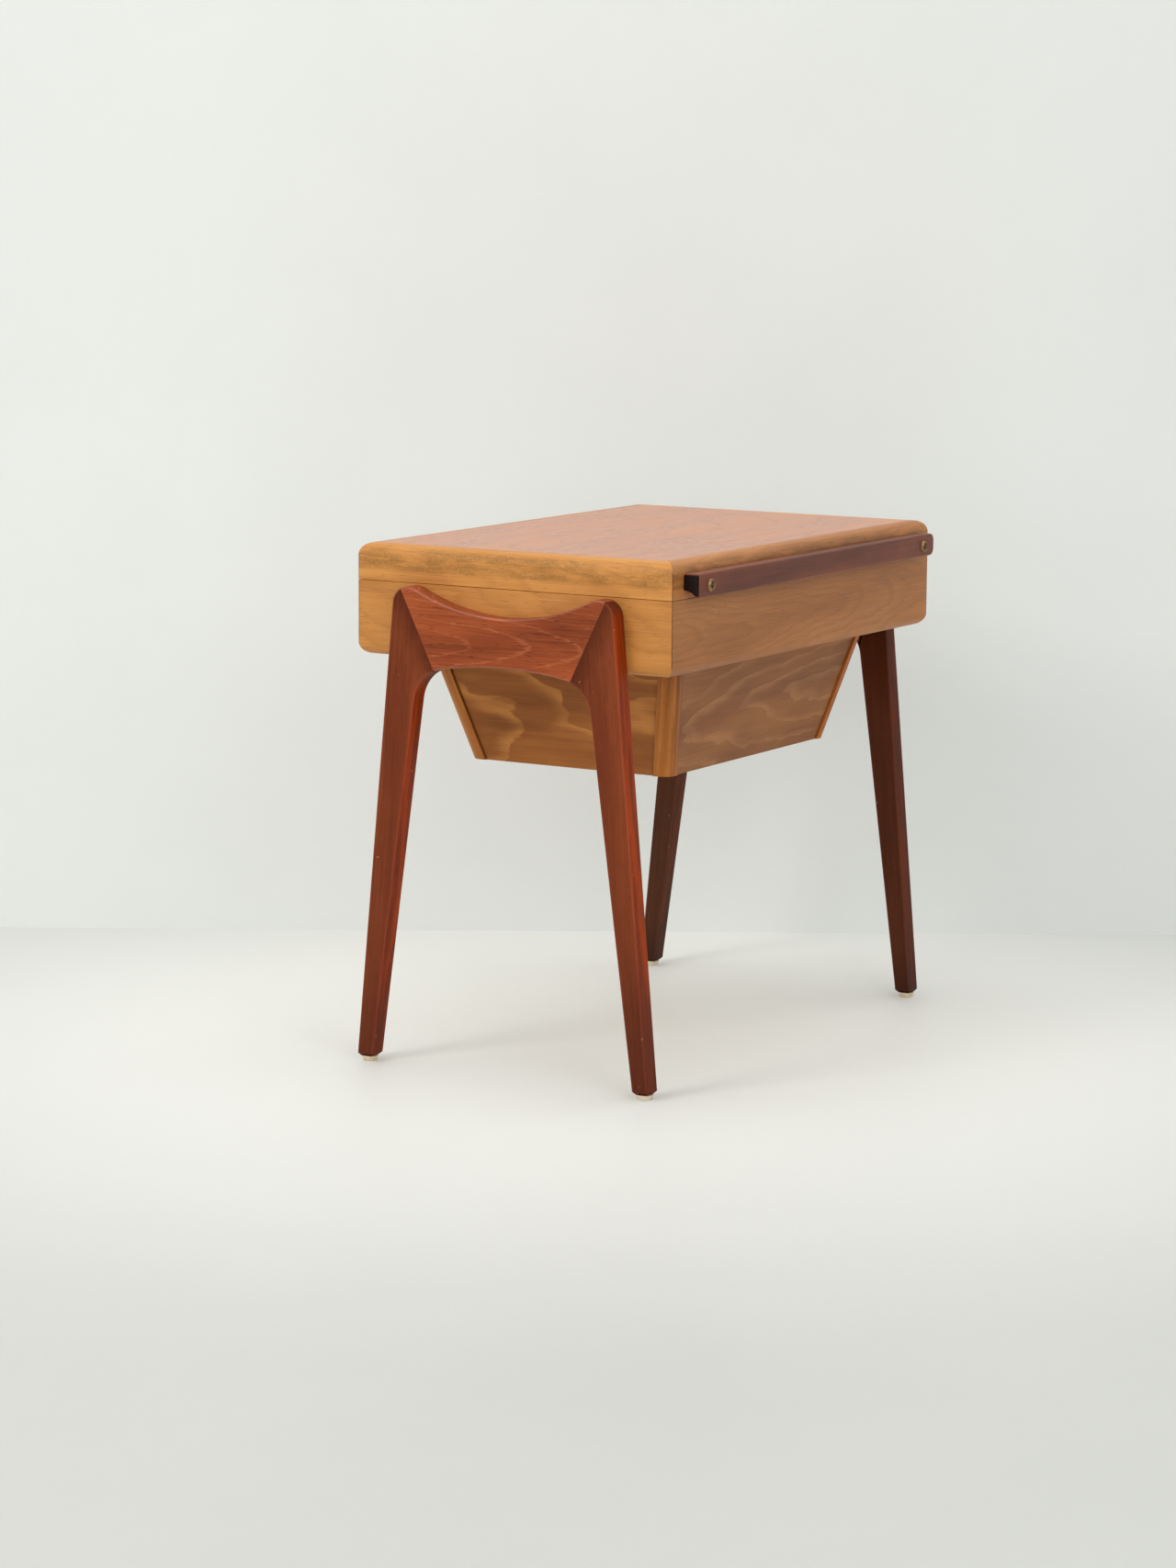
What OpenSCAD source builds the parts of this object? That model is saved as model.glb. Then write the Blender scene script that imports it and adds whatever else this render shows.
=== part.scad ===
// Sewing table: a mitred case with a hinged lid, a sliding tray of compartments and spool
// pegs, a tapered well under the case, and two mitred end frames that are its legs.
// The origin is on the floor, under the middle of the table's bounding box. +X runs along
// the table, -Y points to the front, where the lid's pull bar is, and +Z is up. Millimetres.

/* [Case and lid] */
// Height of the lid's top above the floor
total_h = 520; // [500:1:560]
// Outside length of the case and the lid
case_l = 548; // [520:1:580]
// Outside width of the case and the lid
case_w = 358; // [350:1:372]
// Height of the case's sides
case_h = 74.2; // [72:0.1:80]
// Height of the lid's sides
lid_h = 36.3; // [35:0.1:44]
// Thickness of the case's and the lid's boards
board_t = 16; // [15:0.5:18]
// Rounding along the lid's top edges and the case's bottom edges
edge_r = 12; // [8:0.5:14]
// Thickness of the lid's top panel
top_t = 12; // [10:0.5:14]
// Thickness of the case's bottom board
bottom_t = 5; // [4:0.5:6]
// Gap between the closed lid and the case
split_gap = 0.5; // [0.4:0.1:1]

/* [Well] */
// Length of the well where it meets the case
well_top_l = 410; // [380:1:420]
// Width of the well where it meets the case
well_top_w = 286; // [270:1:296]
// Length of the well's bottom
well_bottom_l = 334; // [300:1:350]
// Width of the well's bottom
well_bottom_w = 231.6; // [210:0.1:240]
// How far the well hangs below the case
well_depth = 113.7; // [90:0.1:130]
// Width of each face of a corner post
post_w = 18; // [16:0.5:22]
// Rounding of a post's outer corner
post_r = 13; // [8:0.5:15]
// Thickness of the well's panels, measured level
well_panel_t = 6.3; // [5:0.1:8]
// How far the posts stand proud of the panels, measured level
post_proud = 2.5; // [1:0.5:4]

/* [End frames] */
// Thickness of the end frames
frame_t = 20; // [18:0.5:24]
// Spread of the feet, over their outer edges, at floor level
foot_spread = 337.6; // [320:0.1:350]
// Width of a leg at floor level
foot_w = 17.4; // [16:0.1:22]
// Lean of a leg's outer edge
outer_lean = 5.26; // [4:0.01:6]
// Lean of a leg's inner edge
inner_lean = 7.8; // [7:0.01:8.5]
// Height of the frames' rounded shoulders above the floor
shoulder_z = 482; // [476:1:482]
// Radius of the shoulders
shoulder_r = 18; // [14:0.5:20]
// Drop from the shoulders to the lowest point of the bowed top edge
bow_drop = 25; // [20:0.5:28]
// Height of the arch between the legs
arch_z = 408.5; // [400:0.5:415]
// Radius of the arch's flat middle stretch
arch_r = 420; // [300:1:600]
// Radius where the arch turns down into the legs
arch_corner_r = 37; // [25:1:45]
// Lean of the mitre joints
mitre_lean = 26.1; // [22:0.1:30]
// Chamfer round the bottom of each leg
foot_chamfer = 3; // [1:0.5:3.5]

/* [Pull bar] */
// Length of the bar
bar_l = 506; // [460:1:520]
// Height of the bar
bar_h = 23; // [20:0.5:24]
// Depth of the bar, out from the lid
bar_d = 17; // [14:0.5:20]
// Depth of bottom edge that the finger cove leaves
bar_land = 3.5; // [2:0.5:5]
// Height of the finger cove at the lid
cove_h = 6.5; // [5:0.5:8]
// Rounding of the bar's left corners
bar_left_r = 3; // [1:0.5:10]
// Rounding of the bar's right corners
bar_right_r = 8; // [1:0.5:10]
// Distance of the bar's screws from its ends
bar_screw_inset = 23; // [18:1:40]

/* [Tray] */
// Length of the tray, along the case
tray_l = 250; // [220:1:256]
// Height of the tray's walls
tray_h = 36; // [30:1:38]
// Thickness of the tray's walls
tray_wall_t = 7; // [6:0.5:8]
// Thickness of the tray's bottom
tray_bottom_t = 3; // [3:0.5:4]
// Thickness of the dividers
divider_t = 5; // [4:0.5:6]
// Width of the stretch with the spool pegs
spool_bay_l = 92; // [80:1:100]
// Diameter of a spool peg
peg_d = 6; // [5:0.5:7]
// Height of a spool peg above its rack
peg_h = 32; // [25:1:40]

/* [Hinges] */
// Distance of each hinge's middle from the table's middle
hinge_x = 170; // [120:1:200]
// Length of a hinge
hinge_l = 50; // [40:1:60]
// Radius of the knuckles
knuckle_r = 2.6; // [2.4:0.1:3]
// Radius of the hinge pins
pin_r = 1.25; // [1:0.05:1.5]

/* [Hidden] */
$fn = 64;
eps = 0.01;
small = 1;

case_z = total_h - lid_h - split_gap - case_h;
case_top_z = case_z + case_h;
lid_z = case_top_z + split_gap;
inner_l = case_l - 2 * board_t;
inner_w = case_w - 2 * board_t;

// The bar stands out at the front and the knuckles at the back, so the case sits a little
// behind the origin.
hinge_clearance = 0.4;
hinge_out = knuckle_r + hinge_clearance;
hinge_reach = hinge_out + knuckle_r;
washer_h = 2.2;
case_y = (bar_d + washer_h - hinge_reach) / 2;

// Case bottom board, let into grooves in the sides
bottom_lift = 6;
groove_d = 5;
bottom_z = case_z + bottom_lift;
floor_z = bottom_z + bottom_t;

// Lid panel, with a tongue let into the rails
tongue_t = 4;
tongue_l = 5;
top_z = total_h - top_t;
tongue_lift = 3;
tongue_z = top_z + tongue_lift;

// Well
well_z = case_z - well_depth;
well_slope_x = (well_top_l - well_bottom_l) / 2 / well_depth;
well_slope_y = (well_top_w - well_bottom_w) / 2 / well_depth;
panel_tongue = 6;
well_floor_t = 5;
well_floor_lift = 2;
well_screw_inset = [3, 2];

// Longer than the well and the frames, for cutting right across them
long_cut = 600;

// End frames
glide_h = 5;
glide_r = 8.2;
foot_out = foot_spread / 2;
foot_in = foot_out - foot_w;
shoulder_cz = shoulder_z - shoulder_r;
shoulder_cy = foot_out - shoulder_cz * tan(outer_lean) - shoulder_r / cos(outer_lean);
bow_rise = bow_drop - shoulder_r;
bow_r = (pow(shoulder_cy, 2) + pow(bow_rise, 2) - pow(shoulder_r, 2)) / (2 * (shoulder_r + bow_rise));
bow_cz = shoulder_z - bow_drop + bow_r;
touch_angle = atan2(bow_cz - shoulder_cz, -shoulder_cy);
mitre_ref = [98.5, 443];
foot_mid = (foot_out + foot_in) / 2 - glide_h / 2 * (tan(outer_lean) + tan(inner_lean));

// Glides and their nails
nail_head_r = 3;
nail_r = 1.1;
nail_head_z = 1.4;
nail_head_h = 1;
nail_top_z = 24;

// Screws, each as its shank's radius, its head's radius and its length
frame_screw = [2.2, 4.3, 32];
well_screw = [1.75, 3.5, 22];
runner_screw = [1.75, 3.5, 20];
leaf_screw = [1.3, 2.4, 13];

// Places of the end frames' fixings
dowel_r = 4;
dowel_l = 32;
dowel_heights = [427, 452];
frame_screw_places = [[-114, 432], [-40, 433], [40, 433], [114, 432]];

// Pull bar
bar_lift = 2.6;
bar_z = case_top_z + bar_lift;
bar_ease = 1;
bar_back_r = 4;
bar_screw_drop = 0.7;
bar_screw_z = bar_z + bar_h / 2 - bar_screw_drop;
bar_screw_r = 2;
bar_screw_l = 28;
washer_r = 6.4;
cup_z = 0.4;
cup_r = 4.2;

// Tray and its runners
runner_t = 9;
runner_h = 12;
runner_lift = 10;
runner_z = floor_z + runner_lift;
slide_gap = 0.3;
side_gap = 1;
end_gap = 2;
tray_z = runner_z + runner_h + slide_gap;
tray_w = inner_w - 2 * side_gap;
tray_x = -inner_l / 2 + end_gap;
tray_end_x = tray_x + tray_l;
tray_floor_lift = 3;
tray_floor_z = tray_z + tray_floor_lift;
tray_groove_d = 3;
divider_x = tray_x + tray_wall_t + spool_bay_l;
divider_drop = 4;
divider_h = tray_h - tray_floor_lift - tray_bottom_t - divider_drop;
rack_t = 8;
peg_rows = 5;
peg_sink = 6;
peg_tip = 1;
runner_screw_x = [-210, 0, 210];

// Hinges
hinge_y = case_w / 2 + hinge_out;
hinge_z = case_top_z + split_gap / 2;
leaf_t = 1.2;
leaf_w = 14;
knuckles = 5;
knuckle_l = hinge_l / knuckles;
knuckle_gap = 0.3;
pin_play = 0.05;
leaf_screw_x = [-17, 0, 17];
leaf_screw_y = [-4.5, -9.5, -4.5];

// ---- Helpers ----

// Points along an arc, from angle a0 to angle a1
function arc(cx, cy, r, a0, a1, n = 16) =
    [for (i = [0:n]) [cx + r * cos(a0 + (a1 - a0) * i / n), cy + r * sin(a0 + (a1 - a0) * i / n)]];

// The same points seen in a mirror, in reverse order
function mirrored(points) = [for (i = [len(points) - 1:-1:0]) [-points[i][0], points[i][1]]];

// Everything is laid out round the case's own middle, then moved to the table's origin.
module placed() {
    translate([0, case_y, 0])
        children();
}

// An outline in Y and Z, made into a plate between x0 and x1
module plate_x(x0, x1) {
    translate([x0, 0, 0])
        rotate([90, 0, 90])
            linear_extrude(height = x1 - x0)
                children();
}

// An outline in X and Z, made into a plate between y0 and y1
module plate_y(y0, y1) {
    translate([0, y1, 0])
        rotate([90, 0, 0])
            linear_extrude(height = y1 - y0)
                children();
}

module box(low, high) {
    translate(low)
        cube(high - low);
}

// A countersunk wood screw whose head's face is at z = 0 and whose shank points down
module wood_screw(size) {
    shank_r = size[0];
    head_r = size[1];
    head_h = head_r - shank_r;
    length = size[2];
    difference() {
        union() {
            translate([0, 0, -head_h])
                cylinder(r1 = shank_r, r2 = head_r, h = head_h);
            translate([0, 0, -length])
                cylinder(r = shank_r, h = length - head_h + eps);
        }
        screw_slot(shank_r, head_r);
    }
}

module screw_slot(shank_r, head_r) {
    translate([-head_r, -shank_r / 5, -head_r / 5])
        cube([2 * head_r, shank_r / 2.5, head_r]);
}

// The room that such a screw takes up
module screw_room(size) {
    shank_r = size[0];
    head_r = size[1];
    head_h = head_r - shank_r;
    length = size[2];
    translate([0, 0, -head_h])
        cylinder(r1 = shank_r, r2 = head_r, h = head_h);
    translate([0, 0, -length])
        cylinder(r = shank_r, h = length);
}

// Moves a board that was drawn along the front, with its outer face at y = 0, to a side
module on_side(side) {
    turn = side == "front" ? 0 : side == "back" ? 180 : side == "left" ? -90 : 90;
    half = side == "front" || side == "back" ? case_w / 2 : case_l / 2;
    rotate([0, 0, turn])
        translate([0, -half, 0])
            children();
}

function side_length(side) = side == "front" || side == "back" ? case_l : case_w;

// A board with mitred ends along the front: its section is drawn in depth and height
module mitred_board(length, height, section) {
    intersection() {
        plate_x(-length / 2, length / 2)
            polygon(section);
        linear_extrude(height = height)
            polygon([[-length / 2, 0], [length / 2, 0],
                     [length / 2 - board_t, board_t], [board_t - length / 2, board_t]]);
    }
}

// ---- Case ----

function case_section() = concat(
    arc(edge_r, edge_r, edge_r, 180, 270),
    [[board_t, 0],
     [board_t, bottom_lift], [board_t - groove_d, bottom_lift],
     [board_t - groove_d, bottom_lift + bottom_t], [board_t, bottom_lift + bottom_t],
     [board_t, case_h], [0, case_h]]);

module case_side(side) {
    translate([0, 0, case_z])
        on_side(side)
            mitred_board(side_length(side), case_h, case_section());
}

module case_front_board() {
    color("#b9813f")
        placed()
            difference() {
                case_side("front");
                runner_screw_rooms(-1);
            }
}

module case_back_board() {
    color("#b9813f")
        placed()
            difference() {
                case_side("back");
                runner_screw_rooms(1);
                for (x = [-hinge_x, hinge_x]) {
                    case_leaf_plate(x);
                    case_leaf_screw_rooms(x);
                }
            }
}

module case_left_board() {
    color("#b9813f")
        placed()
            difference() {
                case_side("left");
                frame_screw_rooms(-1);
            }
}

module case_right_board() {
    color("#b9813f")
        placed()
            difference() {
                case_side("right");
                frame_screw_rooms(1);
            }
}

// The bottom board is open over the well, and covers the tops of the corner posts.
module case_bottom_board() {
    half_l = inner_l / 2 + groove_d;
    half_w = inner_w / 2 + groove_d;
    side_l = well_half_x(bottom_z) - post_proud - well_panel_t;
    side_w = well_half_y(bottom_z) - post_proud - well_panel_t;
    post_l = well_half_x(bottom_z) - post_w;
    post_b = well_half_y(bottom_z) - post_w;
    color("#c8a877")
        placed()
            difference() {
                box([-half_l, -half_w, bottom_z], [half_l, half_w, floor_z]);
                box([-side_l, -post_b, bottom_z - small], [side_l, post_b, floor_z + small]);
                box([-post_l, -side_w, bottom_z - small], [post_l, side_w, floor_z + small]);
                well_screw_rooms();
            }
}

// ---- Well ----

function well_half_x(z) = well_bottom_l / 2 + (z - well_z) * well_slope_x;
function well_half_y(z) = well_bottom_w / 2 + (z - well_z) * well_slope_y;

// A slanted strip, from inset far to inset near inside the well's outer face, in X or Y and Z
function slant_x(far, near) =
    [[well_half_x(well_z) - far, well_z], [well_half_x(well_z) - near, well_z],
     [well_half_x(bottom_z) - near, bottom_z], [well_half_x(bottom_z) - far, bottom_z]];
function slant_y(far, near) =
    [[well_half_y(well_z) - far, well_z], [well_half_y(well_z) - near, well_z],
     [well_half_y(bottom_z) - near, bottom_z], [well_half_y(bottom_z) - far, bottom_z]];

// The well's full breadth less an inset, in X or Y and Z
function breadth_x(inset) =
    let (half = slant_x(inset, inset))
    [[-half[0][0], well_z], [half[0][0], well_z], [half[2][0], bottom_z], [-half[2][0], bottom_z]];
function breadth_y(inset) =
    let (half = slant_y(inset, inset))
    [[-half[0][0], well_z], [half[0][0], well_z], [half[2][0], bottom_z], [-half[2][0], bottom_z]];

// The panels that close the well's ends, at +X and -X
module well_end_panel(sx) {
    intersection() {
        scale_x(sx)
            plate_y(-long_cut / 2, long_cut / 2)
                polygon(slant_x(post_proud + well_panel_t, post_proud));
        plate_x(-long_cut / 2, long_cut / 2)
            polygon(breadth_y(post_w - panel_tongue));
    }
}

// The panels that close the well's front and back, at -Y and +Y
module well_long_panel(sy) {
    intersection() {
        scale_y(sy)
            plate_x(-long_cut / 2, long_cut / 2)
                polygon(slant_y(post_proud + well_panel_t, post_proud));
        plate_y(-long_cut / 2, long_cut / 2)
            polygon(breadth_x(post_w - panel_tongue));
    }
}

module scale_x(sign) {
    mirror([sign < 0 ? 1 : 0, 0, 0])
        children();
}

module scale_y(sign) {
    mirror([0, sign < 0 ? 1 : 0, 0])
        children();
}

// A level slice of the post at +X and +Y, with its outer corner rounded
module post_slice(z) {
    x1 = well_half_x(z);
    y1 = well_half_y(z);
    outline = concat([[x1 - post_w, y1], [x1 - post_w, y1 - post_w], [x1, y1 - post_w]],
                     arc(x1 - post_r, y1 - post_r, post_r, 0, 90));
    linear_extrude(height = eps)
        polygon(outline);
}

module well_post(sx, sy) {
    color("#b98a4e")
        placed()
            difference() {
                scale_x(sx)
                    scale_y(sy)
                        hull() {
                            translate([0, 0, well_z])
                                post_slice(well_z);
                            translate([0, 0, bottom_z - eps])
                                post_slice(bottom_z);
                        }
                well_end_panel(sx);
                well_long_panel(sy);
                well_screw_rooms();
            }
}

module well_panel_front() {
    color("#ad7c46")
        placed()
            well_long_panel(-1);
}

module well_panel_back() {
    color("#ad7c46")
        placed()
            well_long_panel(1);
}

module well_panel_left() {
    color("#ad7c46")
        placed()
            well_end_panel(-1);
}

module well_panel_right() {
    color("#ad7c46")
        placed()
            well_end_panel(1);
}

module well_post_front_left() {
    well_post(-1, -1);
}

module well_post_front_right() {
    well_post(1, -1);
}

module well_post_back_left() {
    well_post(-1, 1);
}

module well_post_back_right() {
    well_post(1, 1);
}

// The well's floor fits inside the panels and round the posts.
module well_floor() {
    inset = post_proud + well_panel_t;
    low = well_z + well_floor_lift;
    color("#c8a877")
        placed()
            difference() {
                intersection() {
                    plate_y(-long_cut / 2, long_cut / 2)
                        polygon(breadth_x(inset));
                    plate_x(-long_cut / 2, long_cut / 2)
                        polygon(breadth_y(inset));
                    box([-long_cut / 2, -long_cut / 2, low],
                        [long_cut / 2, long_cut / 2, low + well_floor_t]);
                }
                for (sx = [-1, 1], sy = [-1, 1])
                    intersection() {
                        scale_x(sx)
                            plate_y(-long_cut / 2, long_cut / 2)
                                polygon(slant_x(post_w, 0));
                        scale_y(sy)
                            plate_x(-long_cut / 2, long_cut / 2)
                                polygon(slant_y(post_w, 0));
                    }
            }
}

// Screws through the bottom board into the tops of the posts
module well_screw_places() {
    x = well_half_x(bottom_z) - post_w / 2 - well_screw_inset[0];
    y = well_half_y(bottom_z) - post_w / 2 - well_screw_inset[1];
    for (sx = [-1, 1], sy = [-1, 1])
        translate([sx * x, sy * y, floor_z])
            children();
}

module well_screw_rooms() {
    well_screw_places()
        screw_room(well_screw);
}

module well_screws() {
    color("#c2a15c")
        placed()
            well_screw_places()
                wood_screw(well_screw);
}

// ---- End frames ----

// Centre of the arc that joins the arch to a leg's inner edge, at +Y
function arch_corner() =
    let (side = [-cos(inner_lean), -sin(inner_lean)],
         along = [-sin(inner_lean), cos(inner_lean)],
         start = [foot_in - arch_z * tan(inner_lean), arch_z] + arch_corner_r * side,
         from_arch = start - [0, arch_z - arch_r],
         run = from_arch * along,
         step = sqrt(pow(run, 2) - from_arch * from_arch + pow(arch_r - arch_corner_r, 2)) - run)
    start + step * along;

// The outline of a whole end frame in Y and Z, before it is cut at the mitres
function frame_outline() =
    let (corner = arch_corner(),
         arch_angle = atan2(corner[1] - arch_z + arch_r, corner[0]),
         c = foot_chamfer,
         outer = concat(
             [[foot_in - glide_h * tan(inner_lean) + c, glide_h],
              [foot_out - glide_h * tan(outer_lean) - c, glide_h],
              [foot_out - (glide_h + c) * tan(outer_lean), glide_h + c]],
             arc(shoulder_cy, shoulder_cz, shoulder_r, outer_lean, touch_angle, 20)),
         bow = arc(0, bow_cz, bow_r, touch_angle - 180, -touch_angle, 36),
         inner = concat(
             [[foot_in - (glide_h + c) * tan(inner_lean), glide_h + c]],
             arc(corner[0], corner[1], arch_corner_r, inner_lean, arch_angle, 16)),
         arch = arc(0, arch_z - arch_r, arch_r, arch_angle, 180 - arch_angle, 20))
    concat(outer,
           [for (i = [1:len(bow) - 2]) bow[i]],
           mirrored(outer),
           mirrored(reversed(inner)),
           [for (i = [len(arch) - 2:-1:1]) arch[i]],
           reversed(inner));

function reversed(points) = [for (i = [len(points) - 1:-1:0]) points[i]];

// Everything on the legs' side of both mitres, in Y and Z
module mitre_cut_2d(sy) {
    along = [sin(mitre_lean), cos(mitre_lean)];
    low = mitre_ref - long_cut * along;
    high = mitre_ref + long_cut * along;
    mirror([sy < 0 ? 1 : 0, 0])
        polygon([low, [long_cut, low[1]], [long_cut, high[1]], high]);
}

// The frame's thickness lies outside the case's end, on the side sx.
module frame_plate(sx) {
    scale_x(sx)
        plate_x(case_l / 2, case_l / 2 + frame_t)
            children();
}

module leg(sx, sy) {
    x0 = case_l / 2;
    x1 = case_l / 2 + frame_t;
    c = foot_chamfer;
    color("#6b2f1d")
        placed()
            difference() {
                intersection() {
                    frame_plate(sx)
                        intersection() {
                            polygon(frame_outline());
                            mitre_cut_2d(sy);
                        }
                    scale_x(sx)
                        plate_y(-long_cut / 2, long_cut / 2)
                            polygon([[x0 + c, glide_h], [x1 - c, glide_h], [x1, glide_h + c],
                                     [x1, total_h], [x0, total_h], [x0, glide_h + c]]);
                }
                dowel_shapes(sx);
                frame_screw_rooms(sx);
                glide_nail_shapes();
            }
}

module crossrail(sx) {
    color("#8a3a20")
        placed()
            difference() {
                frame_plate(sx)
                    difference() {
                        polygon(frame_outline());
                        mitre_cut_2d(-1);
                        mitre_cut_2d(1);
                    }
                dowel_shapes(sx);
                frame_screw_rooms(sx);
            }
}

module leg_front_left() {
    leg(-1, -1);
}

module leg_front_right() {
    leg(1, -1);
}

module leg_back_left() {
    leg(-1, 1);
}

module leg_back_right() {
    leg(1, 1);
}

module crossrail_left() {
    crossrail(-1);
}

module crossrail_right() {
    crossrail(1);
}

// Dowels square across the mitres, in the middle of the frame's thickness
module dowel_shapes(sx) {
    for (sy = [-1, 1], z = dowel_heights)
        translate([sx * (case_l + frame_t) / 2,
                   sy * (mitre_ref[0] + (z - mitre_ref[1]) * tan(mitre_lean)),
                   z])
            rotate([sy * (90 - mitre_lean), 0, 0])
                cylinder(r = dowel_r, h = dowel_l, center = true);
}

module mitre_dowels_left() {
    color("#cfae7e")
        placed()
            dowel_shapes(-1);
}

module mitre_dowels_right() {
    color("#cfae7e")
        placed()
            dowel_shapes(1);
}

// Screws from inside the case, through its end boards and into the frames
module frame_screw_spots(sx) {
    for (spot = frame_screw_places)
        translate([sx * inner_l / 2, spot[0], spot[1]])
            rotate([0, -90 * sx, 0])
                children();
}

module frame_screw_rooms(sx) {
    frame_screw_spots(sx)
        screw_room(frame_screw);
}

module frame_screws_left() {
    color("#c2a15c")
        placed()
            frame_screw_spots(-1)
                wood_screw(frame_screw);
}

module frame_screws_right() {
    color("#c2a15c")
        placed()
            frame_screw_spots(1)
                wood_screw(frame_screw);
}

// ---- Glides ----

// A ribbed, slightly tapered disc, countersunk from below for its nail
module glide_shape() {
    seat_z = nail_head_z + nail_head_h;
    rotate_extrude()
        polygon([[nail_r, glide_h], [nail_r, seat_z], [nail_head_r, seat_z], [nail_head_r, 0],
                 [glide_r - 1.6, 0], [glide_r - 0.9, 0.6], [glide_r - 0.7, 2.2],
                 [glide_r - 1, 2.4], [glide_r - 1, 2.8], [glide_r - 0.4, 3], [glide_r, glide_h]]);
}

module glide(sx, sy) {
    color("#e6d8b8")
        placed()
            translate([sx * (case_l + frame_t) / 2, sy * foot_mid, 0])
                glide_shape();
}

module glide_nail_shapes() {
    for (sx = [-1, 1], sy = [-1, 1])
        translate([sx * (case_l + frame_t) / 2, sy * foot_mid, 0]) {
            translate([0, 0, nail_head_z])
                cylinder(r = nail_head_r, h = nail_head_h);
            translate([0, 0, nail_head_z + nail_head_h - eps])
                cylinder(r = nail_r, h = nail_top_z - nail_head_z);
        }
}

module glide_front_left() {
    glide(-1, -1);
}

module glide_front_right() {
    glide(1, -1);
}

module glide_back_left() {
    glide(-1, 1);
}

module glide_back_right() {
    glide(1, 1);
}

module glide_nails() {
    color("#9a9a96")
        placed()
            glide_nail_shapes();
}

// ---- Tray runners ----

module tray_runner(sy) {
    color("#c69f69")
        placed()
            difference() {
                scale_y(sy)
                    box([-inner_l / 2, inner_w / 2 - runner_t, runner_z],
                        [inner_l / 2, inner_w / 2, runner_z + runner_h]);
                runner_screw_rooms(sy);
            }
}

module tray_runner_front() {
    tray_runner(-1);
}

module tray_runner_back() {
    tray_runner(1);
}

module runner_screw_spots(sy) {
    for (x = runner_screw_x)
        translate([x, sy * (inner_w / 2 - runner_t), runner_z + runner_h / 2])
            rotate([90 * sy, 0, 0])
                children();
}

module runner_screw_rooms(sy) {
    runner_screw_spots(sy)
        screw_room(runner_screw);
}

module runner_screws() {
    color("#c2a15c")
        placed()
            for (sy = [-1, 1])
                runner_screw_spots(sy)
                    wood_screw(runner_screw);
}

// ---- Hinges ----

// Flat part of the leaf let into the case's back board, under the split
module case_leaf_plate(x) {
    box([x - hinge_l / 2, case_w / 2 - leaf_w, case_top_z - leaf_t],
        [x + hinge_l / 2, case_w / 2, case_top_z]);
}

// Flat part of the leaf let into the lid's back rail, above the split
module lid_leaf_plate(x) {
    box([x - hinge_l / 2, case_w / 2 - leaf_w, lid_z],
        [x + hinge_l / 2, case_w / 2, lid_z + leaf_t]);
}

// Knuckles of one leaf: every second one, starting at first, joined to its plate
module knuckle_row(x, first, plate_z, bore_r) {
    for (i = [first:2:knuckles - 1])
        difference() {
            union() {
                translate([x - hinge_l / 2 + i * knuckle_l + knuckle_gap / 2, hinge_y, hinge_z])
                    rotate([0, 90, 0])
                        cylinder(r = knuckle_r, h = knuckle_l - knuckle_gap);
                box([x - hinge_l / 2 + i * knuckle_l + knuckle_gap / 2, case_w / 2 - eps, plate_z],
                    [x - hinge_l / 2 + (i + 1) * knuckle_l - knuckle_gap / 2, hinge_y,
                     plate_z + leaf_t]);
            }
            translate([x - hinge_l / 2 - small, hinge_y, hinge_z])
                rotate([0, 90, 0])
                    cylinder(r = bore_r, h = hinge_l + 2 * small);
        }
}

module case_leaf_screw_spots(x) {
    for (i = [0:len(leaf_screw_x) - 1])
        translate([x + leaf_screw_x[i], case_w / 2 + leaf_screw_y[i], case_top_z])
            children();
}

module lid_leaf_screw_spots(x) {
    for (i = [0:len(leaf_screw_x) - 1])
        translate([x + leaf_screw_x[i], case_w / 2 + leaf_screw_y[i], lid_z])
            rotate([180, 0, 0])
                children();
}

module case_leaf_screw_rooms(x) {
    case_leaf_screw_spots(x)
        screw_room(leaf_screw);
}

module lid_leaf_screw_rooms(x) {
    lid_leaf_screw_spots(x)
        screw_room(leaf_screw);
}

module hinge_case_leaf(x) {
    color("#b8923f")
        placed()
            difference() {
                union() {
                    case_leaf_plate(x);
                    knuckle_row(x, 0, case_top_z - leaf_t, pin_r);
                }
                case_leaf_screw_rooms(x);
            }
}

module hinge_lid_leaf(x) {
    color("#b8923f")
        placed()
            difference() {
                union() {
                    lid_leaf_plate(x);
                    knuckle_row(x, 1, lid_z, pin_r + pin_play);
                }
                lid_leaf_screw_rooms(x);
            }
}

module hinge_case_leaf_left() {
    hinge_case_leaf(-hinge_x);
}

module hinge_case_leaf_right() {
    hinge_case_leaf(hinge_x);
}

module hinge_lid_leaf_left() {
    hinge_lid_leaf(-hinge_x);
}

module hinge_lid_leaf_right() {
    hinge_lid_leaf(hinge_x);
}

// Pins are fixed in the case leaves' knuckles and turn in the lid leaves' knuckles.
module hinge_pins() {
    color("#c9a95a")
        placed()
            for (x = [-hinge_x, hinge_x])
                translate([x - hinge_l / 2 + knuckle_gap / 2, hinge_y, hinge_z])
                    rotate([0, 90, 0])
                        cylinder(r = pin_r, h = hinge_l - knuckle_gap);
}

module hinge_case_screws() {
    color("#c9a95a")
        placed()
            for (x = [-hinge_x, hinge_x])
                case_leaf_screw_spots(x)
                    wood_screw(leaf_screw);
}

module hinge_lid_screws() {
    color("#c9a95a")
        placed()
            for (x = [-hinge_x, hinge_x])
                lid_leaf_screw_spots(x)
                    wood_screw(leaf_screw);
}

// ---- Lid ----

function lid_section() = concat(
    [[0, 0], [board_t, 0],
     [board_t, tongue_z - lid_z], [board_t - tongue_l, tongue_z - lid_z],
     [board_t - tongue_l, tongue_z - lid_z + tongue_t], [board_t, tongue_z - lid_z + tongue_t],
     [board_t, lid_h]],
    arc(edge_r, lid_h - edge_r, edge_r, 90, 180));

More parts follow.
